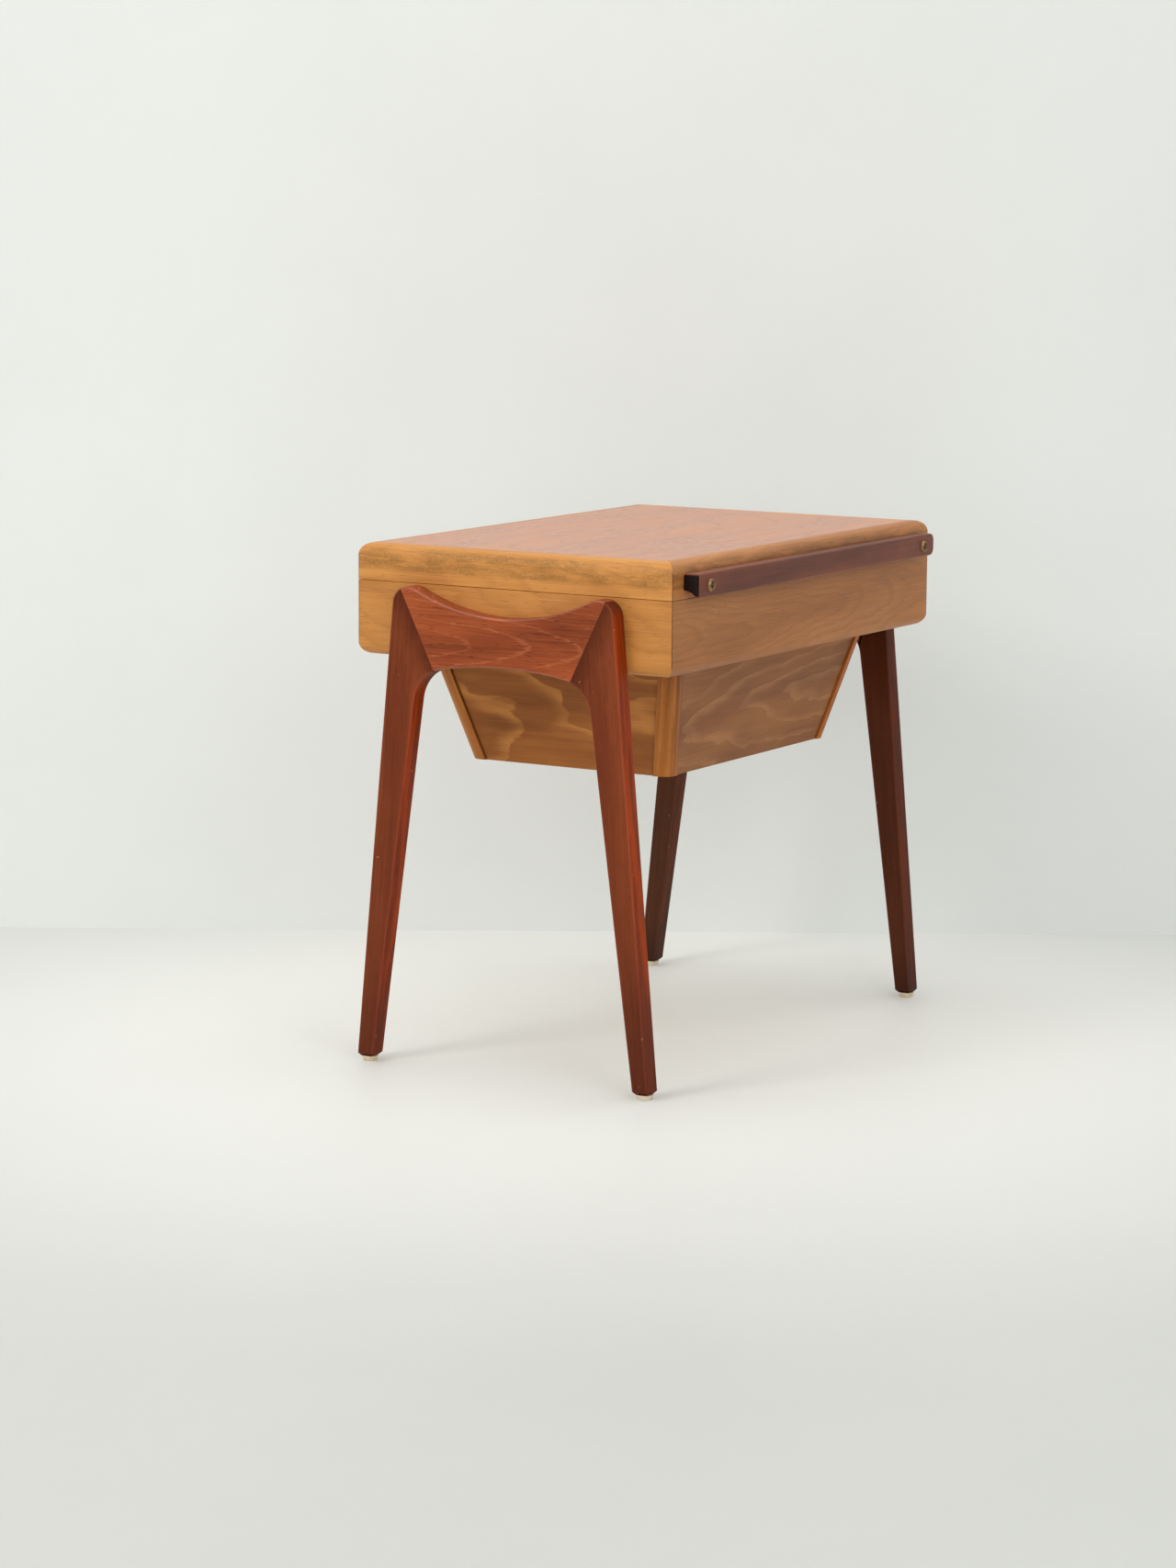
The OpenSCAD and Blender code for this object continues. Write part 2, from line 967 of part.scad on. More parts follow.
module lid_side(side) {
    translate([0, 0, lid_z])
        on_side(side)
            mitred_board(side_length(side), lid_h, lid_section());
}

module lid_front_rail() {
    color("#b9813f")
        placed()
            difference() {
                lid_side("front");
                bar_screw_rooms();
            }
}

module lid_back_rail() {
    color("#b9813f")
        placed()
            difference() {
                lid_side("back");
                for (x = [-hinge_x, hinge_x]) {
                    lid_leaf_plate(x);
                    lid_leaf_screw_rooms(x);
                }
            }
}

module lid_left_rail() {
    color("#b9813f")
        placed()
            lid_side("left");
}

module lid_right_rail() {
    color("#b9813f")
        placed()
            lid_side("right");
}

module lid_top_panel() {
    color("#b56c47")
        placed() {
            box([-inner_l / 2, -inner_w / 2, top_z], [inner_l / 2, inner_w / 2, total_h]);
            box([-inner_l / 2 - tongue_l, -inner_w / 2 - tongue_l, tongue_z],
                [inner_l / 2 + tongue_l, inner_w / 2 + tongue_l, tongue_z + tongue_t]);
        }
}

// ---- Pull bar ----

// Section in depth out from the lid and height, with the finger cove cut out of its back
module bar_section() {
    cove_run = bar_d - bar_land;
    cove_r = (pow(cove_run, 2) + pow(cove_h, 2)) / (2 * cove_h);
    cove_angle = atan2(cove_r - cove_h, -cove_run);
    cove = arc(0, cove_h - cove_r, cove_r, 90, cove_angle, 14);
    outline = concat(
        cove,
        [[-bar_d + bar_ease, 0], [-bar_d, bar_ease],
         [-bar_d, bar_h - bar_ease], [-bar_d + bar_ease, bar_h]],
        arc(-bar_back_r, bar_h - bar_back_r, bar_back_r, 90, 0, 8));
    polygon(outline);
}

// Front view of the bar, with its end corners rounded
module bar_front() {
    left = -bar_l / 2;
    right = bar_l / 2;
    polygon(concat(
        arc(left + bar_left_r, bar_left_r, bar_left_r, 180, 270, 6),
        arc(right - bar_right_r, bar_right_r, bar_right_r, -90, 0, 10),
        arc(right - bar_right_r, bar_h - bar_right_r, bar_right_r, 0, 90, 10),
        arc(left + bar_left_r, bar_h - bar_left_r, bar_left_r, 90, 180, 6)));
}

module pull_bar() {
    color("#5a2c1f")
        placed()
            difference() {
                translate([0, -case_w / 2, bar_z])
                    intersection() {
                        plate_x(-bar_l / 2, bar_l / 2)
                            bar_section();
                        plate_y(-bar_d - small, small)
                            bar_front();
                    }
                bar_screw_rooms();
            }
}

module bar_screw_spots() {
    for (sx = [-1, 1])
        translate([sx * (bar_l / 2 - bar_screw_inset), -case_w / 2 - bar_d, bar_screw_z])
            rotate([90, 0, 0])
                children();
}

module bar_screw_rooms() {
    bar_screw_spots()
        translate([0, 0, -bar_screw_l])
            cylinder(r = bar_screw_r, h = bar_screw_l);
}

// Raised brass cups under the heads of the bar's screws
module pull_bar_cup_washers() {
    color("#c9a95a")
        placed()
            bar_screw_spots()
                rotate_extrude()
                    polygon([[bar_screw_r, 0], [washer_r, 0], [washer_r - 0.5, 1.3],
                             [washer_r - 1.3, washer_h], [cup_r, washer_h],
                             [bar_screw_r, cup_z]]);
}

// Their heads are countersunk in the cups, a little below the rims.
module pull_bar_screws() {
    head_h = 1.3;
    head_r = bar_screw_r + head_h * (cup_r - bar_screw_r) / (washer_h - cup_z);
    slot_w = 0.9;
    color("#8d7640")
        placed()
            bar_screw_spots()
                difference() {
                    union() {
                        translate([0, 0, cup_z])
                            cylinder(r1 = bar_screw_r, r2 = head_r, h = head_h);
                        translate([0, 0, -bar_screw_l])
                            cylinder(r = bar_screw_r, h = bar_screw_l + cup_z + eps);
                    }
                    translate([-washer_r, -slot_w / 2, cup_z + head_h / 2])
                        cube([2 * washer_r, slot_w, head_h]);
                }
}

// ---- Tray ----

module tray_floor_groove() {
    box([tray_x + tray_wall_t - tray_groove_d, -tray_w / 2 + tray_wall_t - tray_groove_d, tray_floor_z],
        [tray_end_x - tray_wall_t + tray_groove_d, tray_w / 2 - tray_wall_t + tray_groove_d,
         tray_floor_z + tray_bottom_t]);
}

module tray_long_wall(sy) {
    color("#d0ab73")
        placed()
            difference() {
                scale_y(sy)
                    box([tray_x + tray_wall_t, tray_w / 2 - tray_wall_t, tray_z],
                        [tray_end_x - tray_wall_t, tray_w / 2, tray_z + tray_h]);
                tray_floor_groove();
            }
}

module tray_end_wall(x) {
    color("#d0ab73")
        placed()
            difference() {
                box([x, -tray_w / 2, tray_z], [x + tray_wall_t, tray_w / 2, tray_z + tray_h]);
                tray_floor_groove();
            }
}

module tray_front_wall() {
    tray_long_wall(-1);
}

module tray_back_wall() {
    tray_long_wall(1);
}

module tray_left_wall() {
    tray_end_wall(tray_x);
}

module tray_right_wall() {
    tray_end_wall(tray_end_x - tray_wall_t);
}

module tray_bottom() {
    color("#c8a877")
        placed()
            tray_floor_groove();
}

// The divider between the spool bay and the compartments
module tray_long_divider() {
    low = tray_floor_z + tray_bottom_t;
    color("#d0ab73")
        placed()
            box([divider_x, -tray_w / 2 + tray_wall_t, low],
                [divider_x + divider_t, tray_w / 2 - tray_wall_t, low + divider_h]);
}

module tray_cross_dividers() {
    low = tray_floor_z + tray_bottom_t;
    color("#d0ab73")
        placed()
            for (y = [-tray_w / 6, tray_w / 6])
                box([divider_x + divider_t, y - divider_t / 2, low],
                    [tray_end_x - tray_wall_t, y + divider_t / 2, low + divider_h]);
}

module spool_peg_shapes() {
    pitch = (tray_w - 2 * tray_wall_t) / peg_rows;
    for (i = [0:peg_rows - 1], side = [-1, 1])
        translate([tray_x + tray_wall_t + spool_bay_l / 2 + side * spool_bay_l / 4,
                   (i - (peg_rows - 1) / 2) * pitch,
                   tray_floor_z + tray_bottom_t + rack_t - peg_sink]) {
            cylinder(r = peg_d / 2, h = peg_sink + peg_h - peg_tip);
            translate([0, 0, peg_sink + peg_h - peg_tip - eps])
                cylinder(r1 = peg_d / 2, r2 = peg_d / 2 - peg_tip, h = peg_tip);
        }
}

module spool_rack() {
    low = tray_floor_z + tray_bottom_t;
    color("#c69f69")
        placed()
            difference() {
                box([tray_x + tray_wall_t, -tray_w / 2 + tray_wall_t, low],
                    [divider_x, tray_w / 2 - tray_wall_t, low + rack_t]);
                spool_peg_shapes();
            }
}

module spool_pegs() {
    color("#d9bd8b")
        placed()
            spool_peg_shapes();
}

// ---- What is drawn ----

case_front_board();
case_back_board();
case_left_board();
case_right_board();
case_bottom_board();
well_panel_front();
well_panel_back();
well_panel_left();
well_panel_right();
well_post_front_left();
well_post_front_right();
well_post_back_left();
well_post_back_right();
well_floor();
well_screws();
leg_front_left();
leg_front_right();
leg_back_left();
leg_back_right();
crossrail_left();
crossrail_right();
mitre_dowels_left();
mitre_dowels_right();
frame_screws_left();
frame_screws_right();
glide_front_left();
glide_front_right();
glide_back_left();
glide_back_right();
glide_nails();
tray_runner_front();
tray_runner_back();
runner_screws();
hinge_case_leaf_left();
hinge_case_leaf_right();
hinge_case_screws();
hinge_pins();
lid_top_panel();
lid_front_rail();
lid_back_rail();
lid_left_rail();
lid_right_rail();
pull_bar();
pull_bar_cup_washers();
pull_bar_screws();
hinge_lid_leaf_left();
hinge_lid_leaf_right();
hinge_lid_screws();
tray_front_wall();
tray_back_wall();
tray_left_wall();
tray_right_wall();
tray_bottom();
tray_long_divider();
tray_cross_dividers();
spool_rack();
spool_pegs();
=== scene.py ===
"""Looks for the sewing table: eased edges, wood, metal and plastic finishes, soft light and the camera."""

import math

import bpy
from mathutils import Matrix, Vector


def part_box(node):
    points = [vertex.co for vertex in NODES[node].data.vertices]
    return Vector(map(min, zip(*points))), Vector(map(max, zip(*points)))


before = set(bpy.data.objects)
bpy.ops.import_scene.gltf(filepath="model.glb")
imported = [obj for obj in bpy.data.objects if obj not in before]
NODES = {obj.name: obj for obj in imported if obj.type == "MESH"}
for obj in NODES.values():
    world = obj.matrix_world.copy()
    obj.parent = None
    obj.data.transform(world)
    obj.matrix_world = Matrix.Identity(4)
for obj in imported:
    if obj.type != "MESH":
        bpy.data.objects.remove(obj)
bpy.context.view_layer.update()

MM = 0.001
X = Vector((1, 0, 0))
Y = Vector((0, 1, 0))
Z = Vector((0, 0, 1))


# ---------------------------------------------------------------- shader trees


class Tree:
    """A material's node tree, with one short method for each kind of node that the finishes use."""

    def __init__(self, name):
        self.material = bpy.data.materials.new(name)
        self.material.use_nodes = True
        self.tree = self.material.node_tree
        self.tree.nodes.clear()
        self.output = self.tree.nodes.new("ShaderNodeOutputMaterial")
        self.shader = self.tree.nodes.new("ShaderNodeBsdfPrincipled")
        self.tree.links.new(self.shader.outputs[0], self.output.inputs["Surface"])
        self.coord = self.tree.nodes.new("ShaderNodeTexCoord")
        self.place = self.coord.outputs["Object"]
        self.normal = self.coord.outputs["Normal"]

    def feed(self, socket, value):
        """Sets a socket to a number, a tuple or another node's output."""
        if isinstance(value, bpy.types.NodeSocket):
            self.tree.links.new(value, socket)
        else:
            socket.default_value = value

    def math(self, operation, a, b=0.0, c=0.0, clamp=False):
        node = self.tree.nodes.new("ShaderNodeMath")
        node.operation = operation
        node.use_clamp = clamp
        for socket, value in zip(node.inputs, (a, b, c)):
            self.feed(socket, value)
        return node.outputs[0]

    def dot(self, vector, axis):
        node = self.tree.nodes.new("ShaderNodeVectorMath")
        node.operation = "DOT_PRODUCT"
        self.feed(node.inputs[0], vector)
        self.feed(node.inputs[1], tuple(axis))
        return node.outputs["Value"]

    def vector(self, x, y, z):
        node = self.tree.nodes.new("ShaderNodeCombineXYZ")
        for socket, value in zip(node.inputs, (x, y, z)):
            self.feed(socket, value)
        return node.outputs[0]

    def scaled(self, vector, scale):
        node = self.tree.nodes.new("ShaderNodeVectorMath")
        node.operation = "MULTIPLY"
        self.feed(node.inputs[0], vector)
        self.feed(node.inputs[1], tuple(scale))
        return node.outputs[0]

    def noise(self, vector, scale=1.0, detail=3.0, roughness=0.55, distortion=0.0):
        node = self.tree.nodes.new("ShaderNodeTexNoise")
        self.feed(node.inputs["Vector"], vector)
        node.inputs["Scale"].default_value = scale
        node.inputs["Detail"].default_value = detail
        node.inputs["Roughness"].default_value = roughness
        node.inputs["Distortion"].default_value = distortion
        return node.outputs[0]

    def cells(self, vector):
        """Distance to the middle of the nearest unit cell, and that cell's own value."""
        node = self.tree.nodes.new("ShaderNodeTexVoronoi")
        self.feed(node.inputs["Vector"], vector)
        node.inputs["Scale"].default_value = 1.0
        parts = self.tree.nodes.new("ShaderNodeSeparateColor")
        self.feed(parts.inputs[0], node.outputs["Color"])
        return node.outputs["Distance"], parts.outputs[0]

    def step(self, value, low, high, out_low=0.0, out_high=1.0):
        """A smooth step from out_low at low to out_high at high."""
        node = self.tree.nodes.new("ShaderNodeMapRange")
        node.interpolation_type = "SMOOTHSTEP"
        for socket, number in zip(node.inputs, (value, low, high, out_low, out_high)):
            self.feed(socket, number)
        return node.outputs[0]

    def ramp(self, value, *stops):
        """A colour ramp through (position, colour) stops."""
        node = self.tree.nodes.new("ShaderNodeValToRGB")
        ramp = node.color_ramp
        while len(ramp.elements) < len(stops):
            ramp.elements.new(0.5)
        for element, (position, colour) in zip(ramp.elements, stops):
            element.position = position
            element.color = (*colour, 1)
        self.feed(node.inputs[0], value)
        return node.outputs[0]

    def mix(self, amount, a, b, blend="MIX"):
        """Colour a with an amount of b. Sockets 6 and 7 are the node's colours, and output 2 its result."""
        node = self.tree.nodes.new("ShaderNodeMix")
        node.data_type = "RGBA"
        node.blend_type = blend
        self.feed(node.inputs[0], amount)
        for socket, value in ((node.inputs[6], a), (node.inputs[7], b)):
            self.feed(socket, value if isinstance(value, bpy.types.NodeSocket) else (*value, 1))
        return node.outputs[2]

    def finish(self, colour, roughness, height, relief, **sockets):
        """Joins the colour, roughness and height to the shader, and sets its other sockets. relief is
        how far apart the heights 0 and 1 lie."""
        self.feed(self.shader.inputs["Base Color"], colour)
        self.feed(self.shader.inputs["Roughness"], roughness)
        for name, value in sockets.items():
            self.shader.inputs[name].default_value = value
        bump = self.tree.nodes.new("ShaderNodeBump")
        bump.inputs["Distance"].default_value = relief
        self.feed(bump.inputs["Height"], height)
        self.tree.links.new(bump.outputs[0], self.shader.inputs["Normal"])
        return self.material


def srgb(red, green, blue):
    """A colour from its 0 to 255 display values."""
    shares = (value / 255 for value in (red, green, blue))
    return tuple(((s + 0.055) / 1.055) ** 2.4 if s > 0.04 else s / 12.92 for s in shares)


def shade(colour, factor):
    return tuple(c * factor for c in colour)


# ------------------------------------------------------------------------ wood

PLAIN = (1, 1, 1)
PLAIN_GLOSS = 0.3
END_GRAIN_SHARE = 0.8

# What each kind of wood looks like. Lengths are in metres.
#   light, middle, dark: the colours that the grain runs through
#   line: the colour of the growth rings' lines, and line_share how strongly it shows
#   rings: spacing of the growth rings; sharp: the share of it that is clear of their lines
#   pith: how deep under the face the rings' middle lies
#   tilt: slope of the pith along the board, which draws the cathedrals; wander: how far rings stray
#   fibre, streak, blotch: how much the fine fibres, the long streaks and the broad patches show
#   pores: how dark the short pores are
#   roughness: how matt the face is; gloss: its specular level, where it isn't PLAIN_GLOSS
#   edge, edge_gloss: tint and specular level of the eased edges, on the woods that have them; the tint is
#       partly wear and partly a painted highlight
# One board can change any of these. It can also set ends, how much of its end grain shows, and
# end_shade, how dark that is, and it can carry any of the marks in MARKS.
WOODS = {
    "case": dict(
        light=srgb(218, 154, 82), middle=srgb(196, 131, 62), dark=srgb(158, 98, 42), line=srgb(150, 92, 38),
        line_share=0.3, rings=3.6 * MM, sharp=0.45, pith=35 * MM, tilt=0.05, wander=18 * MM,
        fibre=0.22, streak=0.14, blotch=0.5, pores=0.32, roughness=0.45, edge=(1.3, 1.2, 1.1),
    ),
    "top": dict(
        light=srgb(216, 144, 94), middle=srgb(196, 121, 73), dark=srgb(164, 93, 54), line=srgb(98, 50, 29),
        line_share=0.36, rings=30 * MM, sharp=0.86, pith=12 * MM, tilt=0.3, wander=50 * MM,
        fibre=0.26, streak=0.18, blotch=0.42, pores=0.16, roughness=0.3, gloss=0.85,
    ),
    "well": dict(
        light=srgb(194, 126, 60), middle=srgb(154, 92, 40), dark=srgb(98, 54, 22), line=srgb(220, 150, 78),
        line_share=0.7, rings=16 * MM, sharp=0.55, pith=26 * MM, tilt=-0.17, wander=50 * MM,
        fibre=0.13, streak=0.14, blotch=0.55, pores=0.16, roughness=0.5, gloss=0.2,
    ),
    "post": dict(
        light=srgb(204, 132, 60), middle=srgb(170, 104, 42), dark=srgb(116, 64, 26), line=srgb(92, 50, 20),
        line_share=0.25, rings=5 * MM, sharp=0.4, pith=40 * MM, tilt=0.02, wander=6 * MM,
        fibre=0.3, streak=0.4, blotch=0.6, pores=0.3, roughness=0.42, gloss=0.25,
    ),
    "leg": dict(
        light=srgb(146, 73, 41), middle=srgb(121, 57, 31), dark=srgb(84, 36, 20), line=srgb(78, 32, 18),
        line_share=0.1, rings=9 * MM, sharp=0.3, pith=50 * MM, tilt=0.01, wander=12 * MM,
        fibre=0.2, streak=0.14, blotch=0.42, pores=0.26, roughness=0.4, gloss=0.07,
        edge=(1.4, 1.12, 0.95), edge_gloss=0.16,
    ),
    "crossrail": dict(
        light=srgb(180, 90, 49), middle=srgb(151, 73, 39), dark=srgb(94, 40, 23), line=srgb(196, 112, 72),
        line_share=0.55, rings=7.5 * MM, sharp=0.84, pith=7 * MM, tilt=-0.11, wander=12 * MM,
        fibre=0.26, streak=0.1, blotch=0.55, pores=0.6, roughness=0.4, gloss=0.1,
        edge=(1.0, 0.98, 1.0), edge_gloss=0.5,
    ),
    "bar": dict(
        light=srgb(142, 74, 46), middle=srgb(116, 56, 35), dark=srgb(84, 38, 25), line=srgb(70, 31, 20),
        line_share=0.15, rings=4 * MM, sharp=0.4, pith=40 * MM, tilt=0.01, wander=5 * MM,
        fibre=0.24, streak=0.16, blotch=0.8, pores=0.2, roughness=0.34, gloss=0.2,
        edge=(2.3, 2.2, 2.1), edge_gloss=0.6,
    ),
    "inner": dict(
        light=srgb(222, 186, 136), middle=srgb(208, 168, 116), dark=srgb(180, 138, 90),
        line=srgb(168, 122, 76), line_share=0.3, rings=4 * MM, sharp=0.5, pith=45 * MM, tilt=0.03,
        wander=8 * MM, fibre=0.28, streak=0.3, blotch=0.2, pores=0.3, roughness=0.55,
    ),
    "plywood": dict(
        light=srgb(214, 176, 128), middle=srgb(200, 158, 108), dark=srgb(170, 128, 84),
        line=srgb(158, 114, 72), line_share=0.4, rings=9 * MM, sharp=0.6, pith=20 * MM, tilt=0.06,
        wander=22 * MM, fibre=0.25, streak=0.25, blotch=0.25, pores=0.25, roughness=0.6,
    ),
}

# Sizes of the variations, along the grain and across it
FIBRE_LENGTH, FIBRE_WIDTH = 60 * MM, 1.3 * MM
STREAK_LENGTH, STREAK_WIDTH = 320 * MM, 6 * MM
BLOTCH_LENGTH, BLOTCH_WIDTH = 230 * MM, 60 * MM
PORE_LENGTH, PORE_WIDTH = 11 * MM, 1.2 * MM
SWAY_LENGTH, SWAY_WIDTH = 160 * MM, 60 * MM
WOBBLE_LENGTH, WOBBLE_WIDTH = 20 * MM, 7 * MM
FADE_LENGTH, FADE_WIDTH = 60 * MM, 15 * MM

# How far fibres, streaks and blotches move the tone, for each unit of their share in WOODS
FIBRE_GAIN, STREAK_GAIN, BLOTCH_GAIN = 1.9, 1.6, 1.6
# The tones at which the dark, middle and light colours are reached
DARK_TONE, MIDDLE_TONE, LIGHT_TONE = 0.22, 0.5, 0.8

# Growth rings: how far their lines wobble as a share of their spacing, how far fibres jag them, and
# the part of each ring that its line fills most darkly
WOBBLE_SHARE = 0.6
JAG = 3 * MM
LINE_FULL, LINE_OVER = 0.96, 0.97
# The levels of noise between which the lines come out of their faintest state, and that state
FADE_LEVELS = (-0.2, 0.15)
FAINTEST_LINE = 0.35

# The levels of noise between which a pore comes out, and its shade of the dark colour
PORE_LEVELS = (0.14, 0.24)
PORE_SHADE = 0.45

# How squarely a face must look along the grain to be end grain, how many specks it has in a metre,
# and how dark it is at two levels of their noise
END_FACING = (0.75, 0.95)
END_GRAIN_SCALE = (40, 900, 900)
END_GRAIN_STOPS = ((0.3, 0.35), (0.7, 0.8))

# What each variation adds to the roughness and to the height of the face
FIBRE_ROUGHNESS, BLOTCH_ROUGHNESS, END_ROUGHNESS = 0.12, 0.2, 0.25
FIBRE_RISE, PORE_RISE, LINE_RISE = 0.5, -0.6, 0.08
WOOD_RELIEF = 0.14 * MM


class Board(Tree):
    """A material's tree for a board, which also knows places along the grain, across it and out of
    the board's face, measured from origin."""

    def __init__(self, name, along, out, origin):
        super().__init__(name)
        axes = (along, out.cross(along), out)
        self.grain = [self.math("SUBTRACT", self.dot(self.place, axis), axis.dot(origin)) for axis in axes]

    def drawn_noise(self, length, width, detail):
        """Noise drawn out along the grain, centred on nought."""
        place = self.scaled(self.vector(*self.grain), (1 / length, 1 / width, 1 / width))
        return self.math("SUBTRACT", self.noise(place, detail=detail), 0.5)


def ring_lines(t, look, fibre):
    """Where the growth rings' lines cross the face: 0 between them, 1 on them, soft on one side."""
    u, v, w = t.grain
    sway = t.drawn_noise(SWAY_LENGTH, SWAY_WIDTH, 2)
    wobble = t.drawn_noise(WOBBLE_LENGTH, WOBBLE_WIDTH, 3)
    depth = t.math("MULTIPLY_ADD", u, look["tilt"], look["pith"])
    depth = t.math("ADD", depth, w)
    depth = t.math("MULTIPLY_ADD", sway, look["wander"], depth)
    side = t.math("MULTIPLY_ADD", wobble, look["rings"] * WOBBLE_SHARE, v)
    radius = t.math("SQRT", t.math("ADD", t.math("MULTIPLY", side, side), t.math("MULTIPLY", depth, depth)))
    radius = t.math("MULTIPLY_ADD", fibre, JAG, radius)
    phase = t.math("FRACT", t.math("MULTIPLY", radius, 1 / look["rings"]))
    rise = t.step(phase, look["sharp"], LINE_FULL)
    fall = t.step(phase, LINE_OVER, 1.0, 1.0, 0.0)
    return t.math("MULTIPLY", rise, fall)


def face_colour(t, look, fibre, streak, blotch, lines, pores):
    """The colour of a board's face before its end grain and marks."""
    tone = t.math("MULTIPLY_ADD", fibre, look["fibre"] * FIBRE_GAIN, 0.5)
    tone = t.math("MULTIPLY_ADD", streak, look["streak"] * STREAK_GAIN, tone)
    tone = t.math("MULTIPLY_ADD", blotch, look["blotch"] * BLOTCH_GAIN, tone)
    stops = ((DARK_TONE, look["dark"]), (MIDDLE_TONE, look["middle"]), (LIGHT_TONE, look["light"]))
    colour = t.ramp(tone, *stops)
    strength = t.step(t.drawn_noise(FADE_LENGTH, FADE_WIDTH, 2), *FADE_LEVELS, FAINTEST_LINE, 1.0)
    share = t.math("MULTIPLY", t.math("MULTIPLY", lines, strength), look["line_share"])
    colour = t.mix(share, colour, look["line"])
    return t.mix(t.math("MULTIPLY", pores, look["pores"]), colour, shade(look["dark"], PORE_SHADE))


def end_grained(t, look, colour, ends):
    """Adds the darker, speckled grain of a board's ends."""
    specks = t.noise(t.scaled(t.vector(*t.grain), END_GRAIN_SCALE), detail=2)
    dark = shade(look["dark"], look.get("end_shade", 1.0))
    stops = [(level, shade(dark, factor)) for level, factor in END_GRAIN_STOPS]
    share = t.math("MULTIPLY", ends, look.get("ends", END_GRAIN_SHARE))
    return t.mix(share, colour, t.ramp(specks, *stops))


def wood(name, kind, along, out, origin, tint=PLAIN, **changes):
    """A wood finish whose grain runs along one axis of a board, whose face looks out along another."""
    look = {**WOODS[kind], **changes}
    t = Board(name, along, out, origin)
    fibre = t.drawn_noise(FIBRE_LENGTH, FIBRE_WIDTH, 4)
    streak = t.drawn_noise(STREAK_LENGTH, STREAK_WIDTH, 3)
    blotch = t.drawn_noise(BLOTCH_LENGTH, BLOTCH_WIDTH, 3)
    lines = ring_lines(t, look, fibre)
    pores = t.step(t.drawn_noise(PORE_LENGTH, PORE_WIDTH, 1), *PORE_LEVELS)
    ends = t.step(t.math("ABSOLUTE", t.dot(t.normal, along)), *END_FACING)
    colour = face_colour(t, look, fibre, streak, blotch, lines, pores)
    colour = end_grained(t, look, colour, ends)
    for mark, draw in MARKS.items():
        if mark in look:
            colour = draw(t, look, colour)
    if tint != PLAIN:
        colour = t.mix(1.0, colour, tint, "MULTIPLY")
    rough = t.math("MULTIPLY_ADD", fibre, FIBRE_ROUGHNESS, look["roughness"])
    rough = t.math("MULTIPLY_ADD", blotch, BLOTCH_ROUGHNESS, rough)
    rough = t.math("MULTIPLY_ADD", ends, END_ROUGHNESS, rough, clamp=True)
    height = t.math("MULTIPLY_ADD", fibre, FIBRE_RISE, 0.5)
    height = t.math("MULTIPLY_ADD", pores, PORE_RISE, height)
    height = t.math("MULTIPLY_ADD", lines, LINE_RISE, height)
    sheen = {"Specular IOR Level": look.get("gloss", PLAIN_GLOSS)}
    return t.finish(colour, rough, height, WOOD_RELIEF, **sheen)


# -------------------------------------------------------------- marks on wood

# The lid's stain: a mottled band that fades out within STAIN_RISE and STAIN_FALL of its edges
STAIN_COLOUR = srgb(122, 82, 34)
STAIN_SHARE = 0.7
STAIN_RISE, STAIN_FALL = 5 * MM, 8 * MM
MOTTLE_STRETCH = (1 / (50 * MM), 1 / (12 * MM), 1 / (12 * MM))
MOTTLE_LEVELS = (0.32, 0.64)
SPECKLE_SIZE = 2.2 * MM
SPECKLE_LEVELS, SPECKLE_FAINTEST = (0.3, 0.65), 0.45

# Dings on the legs: small pale ticks, in the few cells of a slanted grid whose value is high
DING_COLOUR = srgb(206, 150, 116)
DING_STRETCH = (1 / (8 * MM), 1 / (22 * MM), 1 / (20 * MM))
DING_SIZE = (0.07, 0.13)
DING_RARITY = (0.86, 0.88)

# The legs' faces to the front and the back of the table: redder than the big faces, with streaks
SIDE_TINT = (1.75, 1.0, 0.25)
SIDE_SHADE = (1.05, 0.75, 0.45)
SIDE_FACING = (0.8, 0.95)
SIDE_STREAK_LENGTH, SIDE_STREAK_WIDTH = 90 * MM, 7 * MM
SIDE_STREAK_LEVELS = (-0.1, 0.12)

# The posts' painted shadow on the well's panels, this far from the corner posts
POST_SHADOW_REACH = (0.6 * MM, 2.6 * MM)
POST_SHADOW_SHARE, POST_SHADOW_SHADE = 0.8, 0.3

# Dark patches by the mitres of the legs
SMUDGE_SIZE, SMUDGE_REACH = 14 * MM, 18 * MM
MITRE_STAIN_REACH = (6 * MM, 34 * MM)
MITRE_STAIN_SHARE, MITRE_STAIN_SHADE = 0.62, 0.55

# Dark lines where boards meet at the corners
JOINT_LINE = 0.9 * MM
JOINT_SHARE, JOINT_SHADE = 0.85, 0.2

# Darker feet, with a ragged upper border
FOOT_COLOUR = srgb(52, 22, 15)
FOOT_SHARE = 0.55
FOOT_LOW = 8 * MM
RAGGED_SIZE, RAGGED_REACH = 12 * MM, 18 * MM


def band_stain(t, look, colour):
    """A blotchy, speckled band between two heights."""
    low, high = look["stain"]
    z = t.dot(t.place, Z)
    rise = t.step(z, low, low + STAIN_RISE)
    fall = t.step(z, high - STAIN_FALL, high, 1.0, 0.0)
    band = t.math("MULTIPLY", rise, fall)
    mottle = t.noise(t.scaled(t.vector(*t.grain), MOTTLE_STRETCH), detail=4, roughness=0.65, distortion=0.5)
    speckle = t.noise(t.place, 1 / SPECKLE_SIZE, roughness=0.7)
    specks = t.step(speckle, *SPECKLE_LEVELS, SPECKLE_FAINTEST, 1.0)
    dirt = t.math("MULTIPLY", t.step(mottle, *MOTTLE_LEVELS), specks)
    share = t.math("MULTIPLY", t.math("MULTIPLY", dirt, band), STAIN_SHARE)
    return t.mix(share, colour, STAIN_COLOUR)


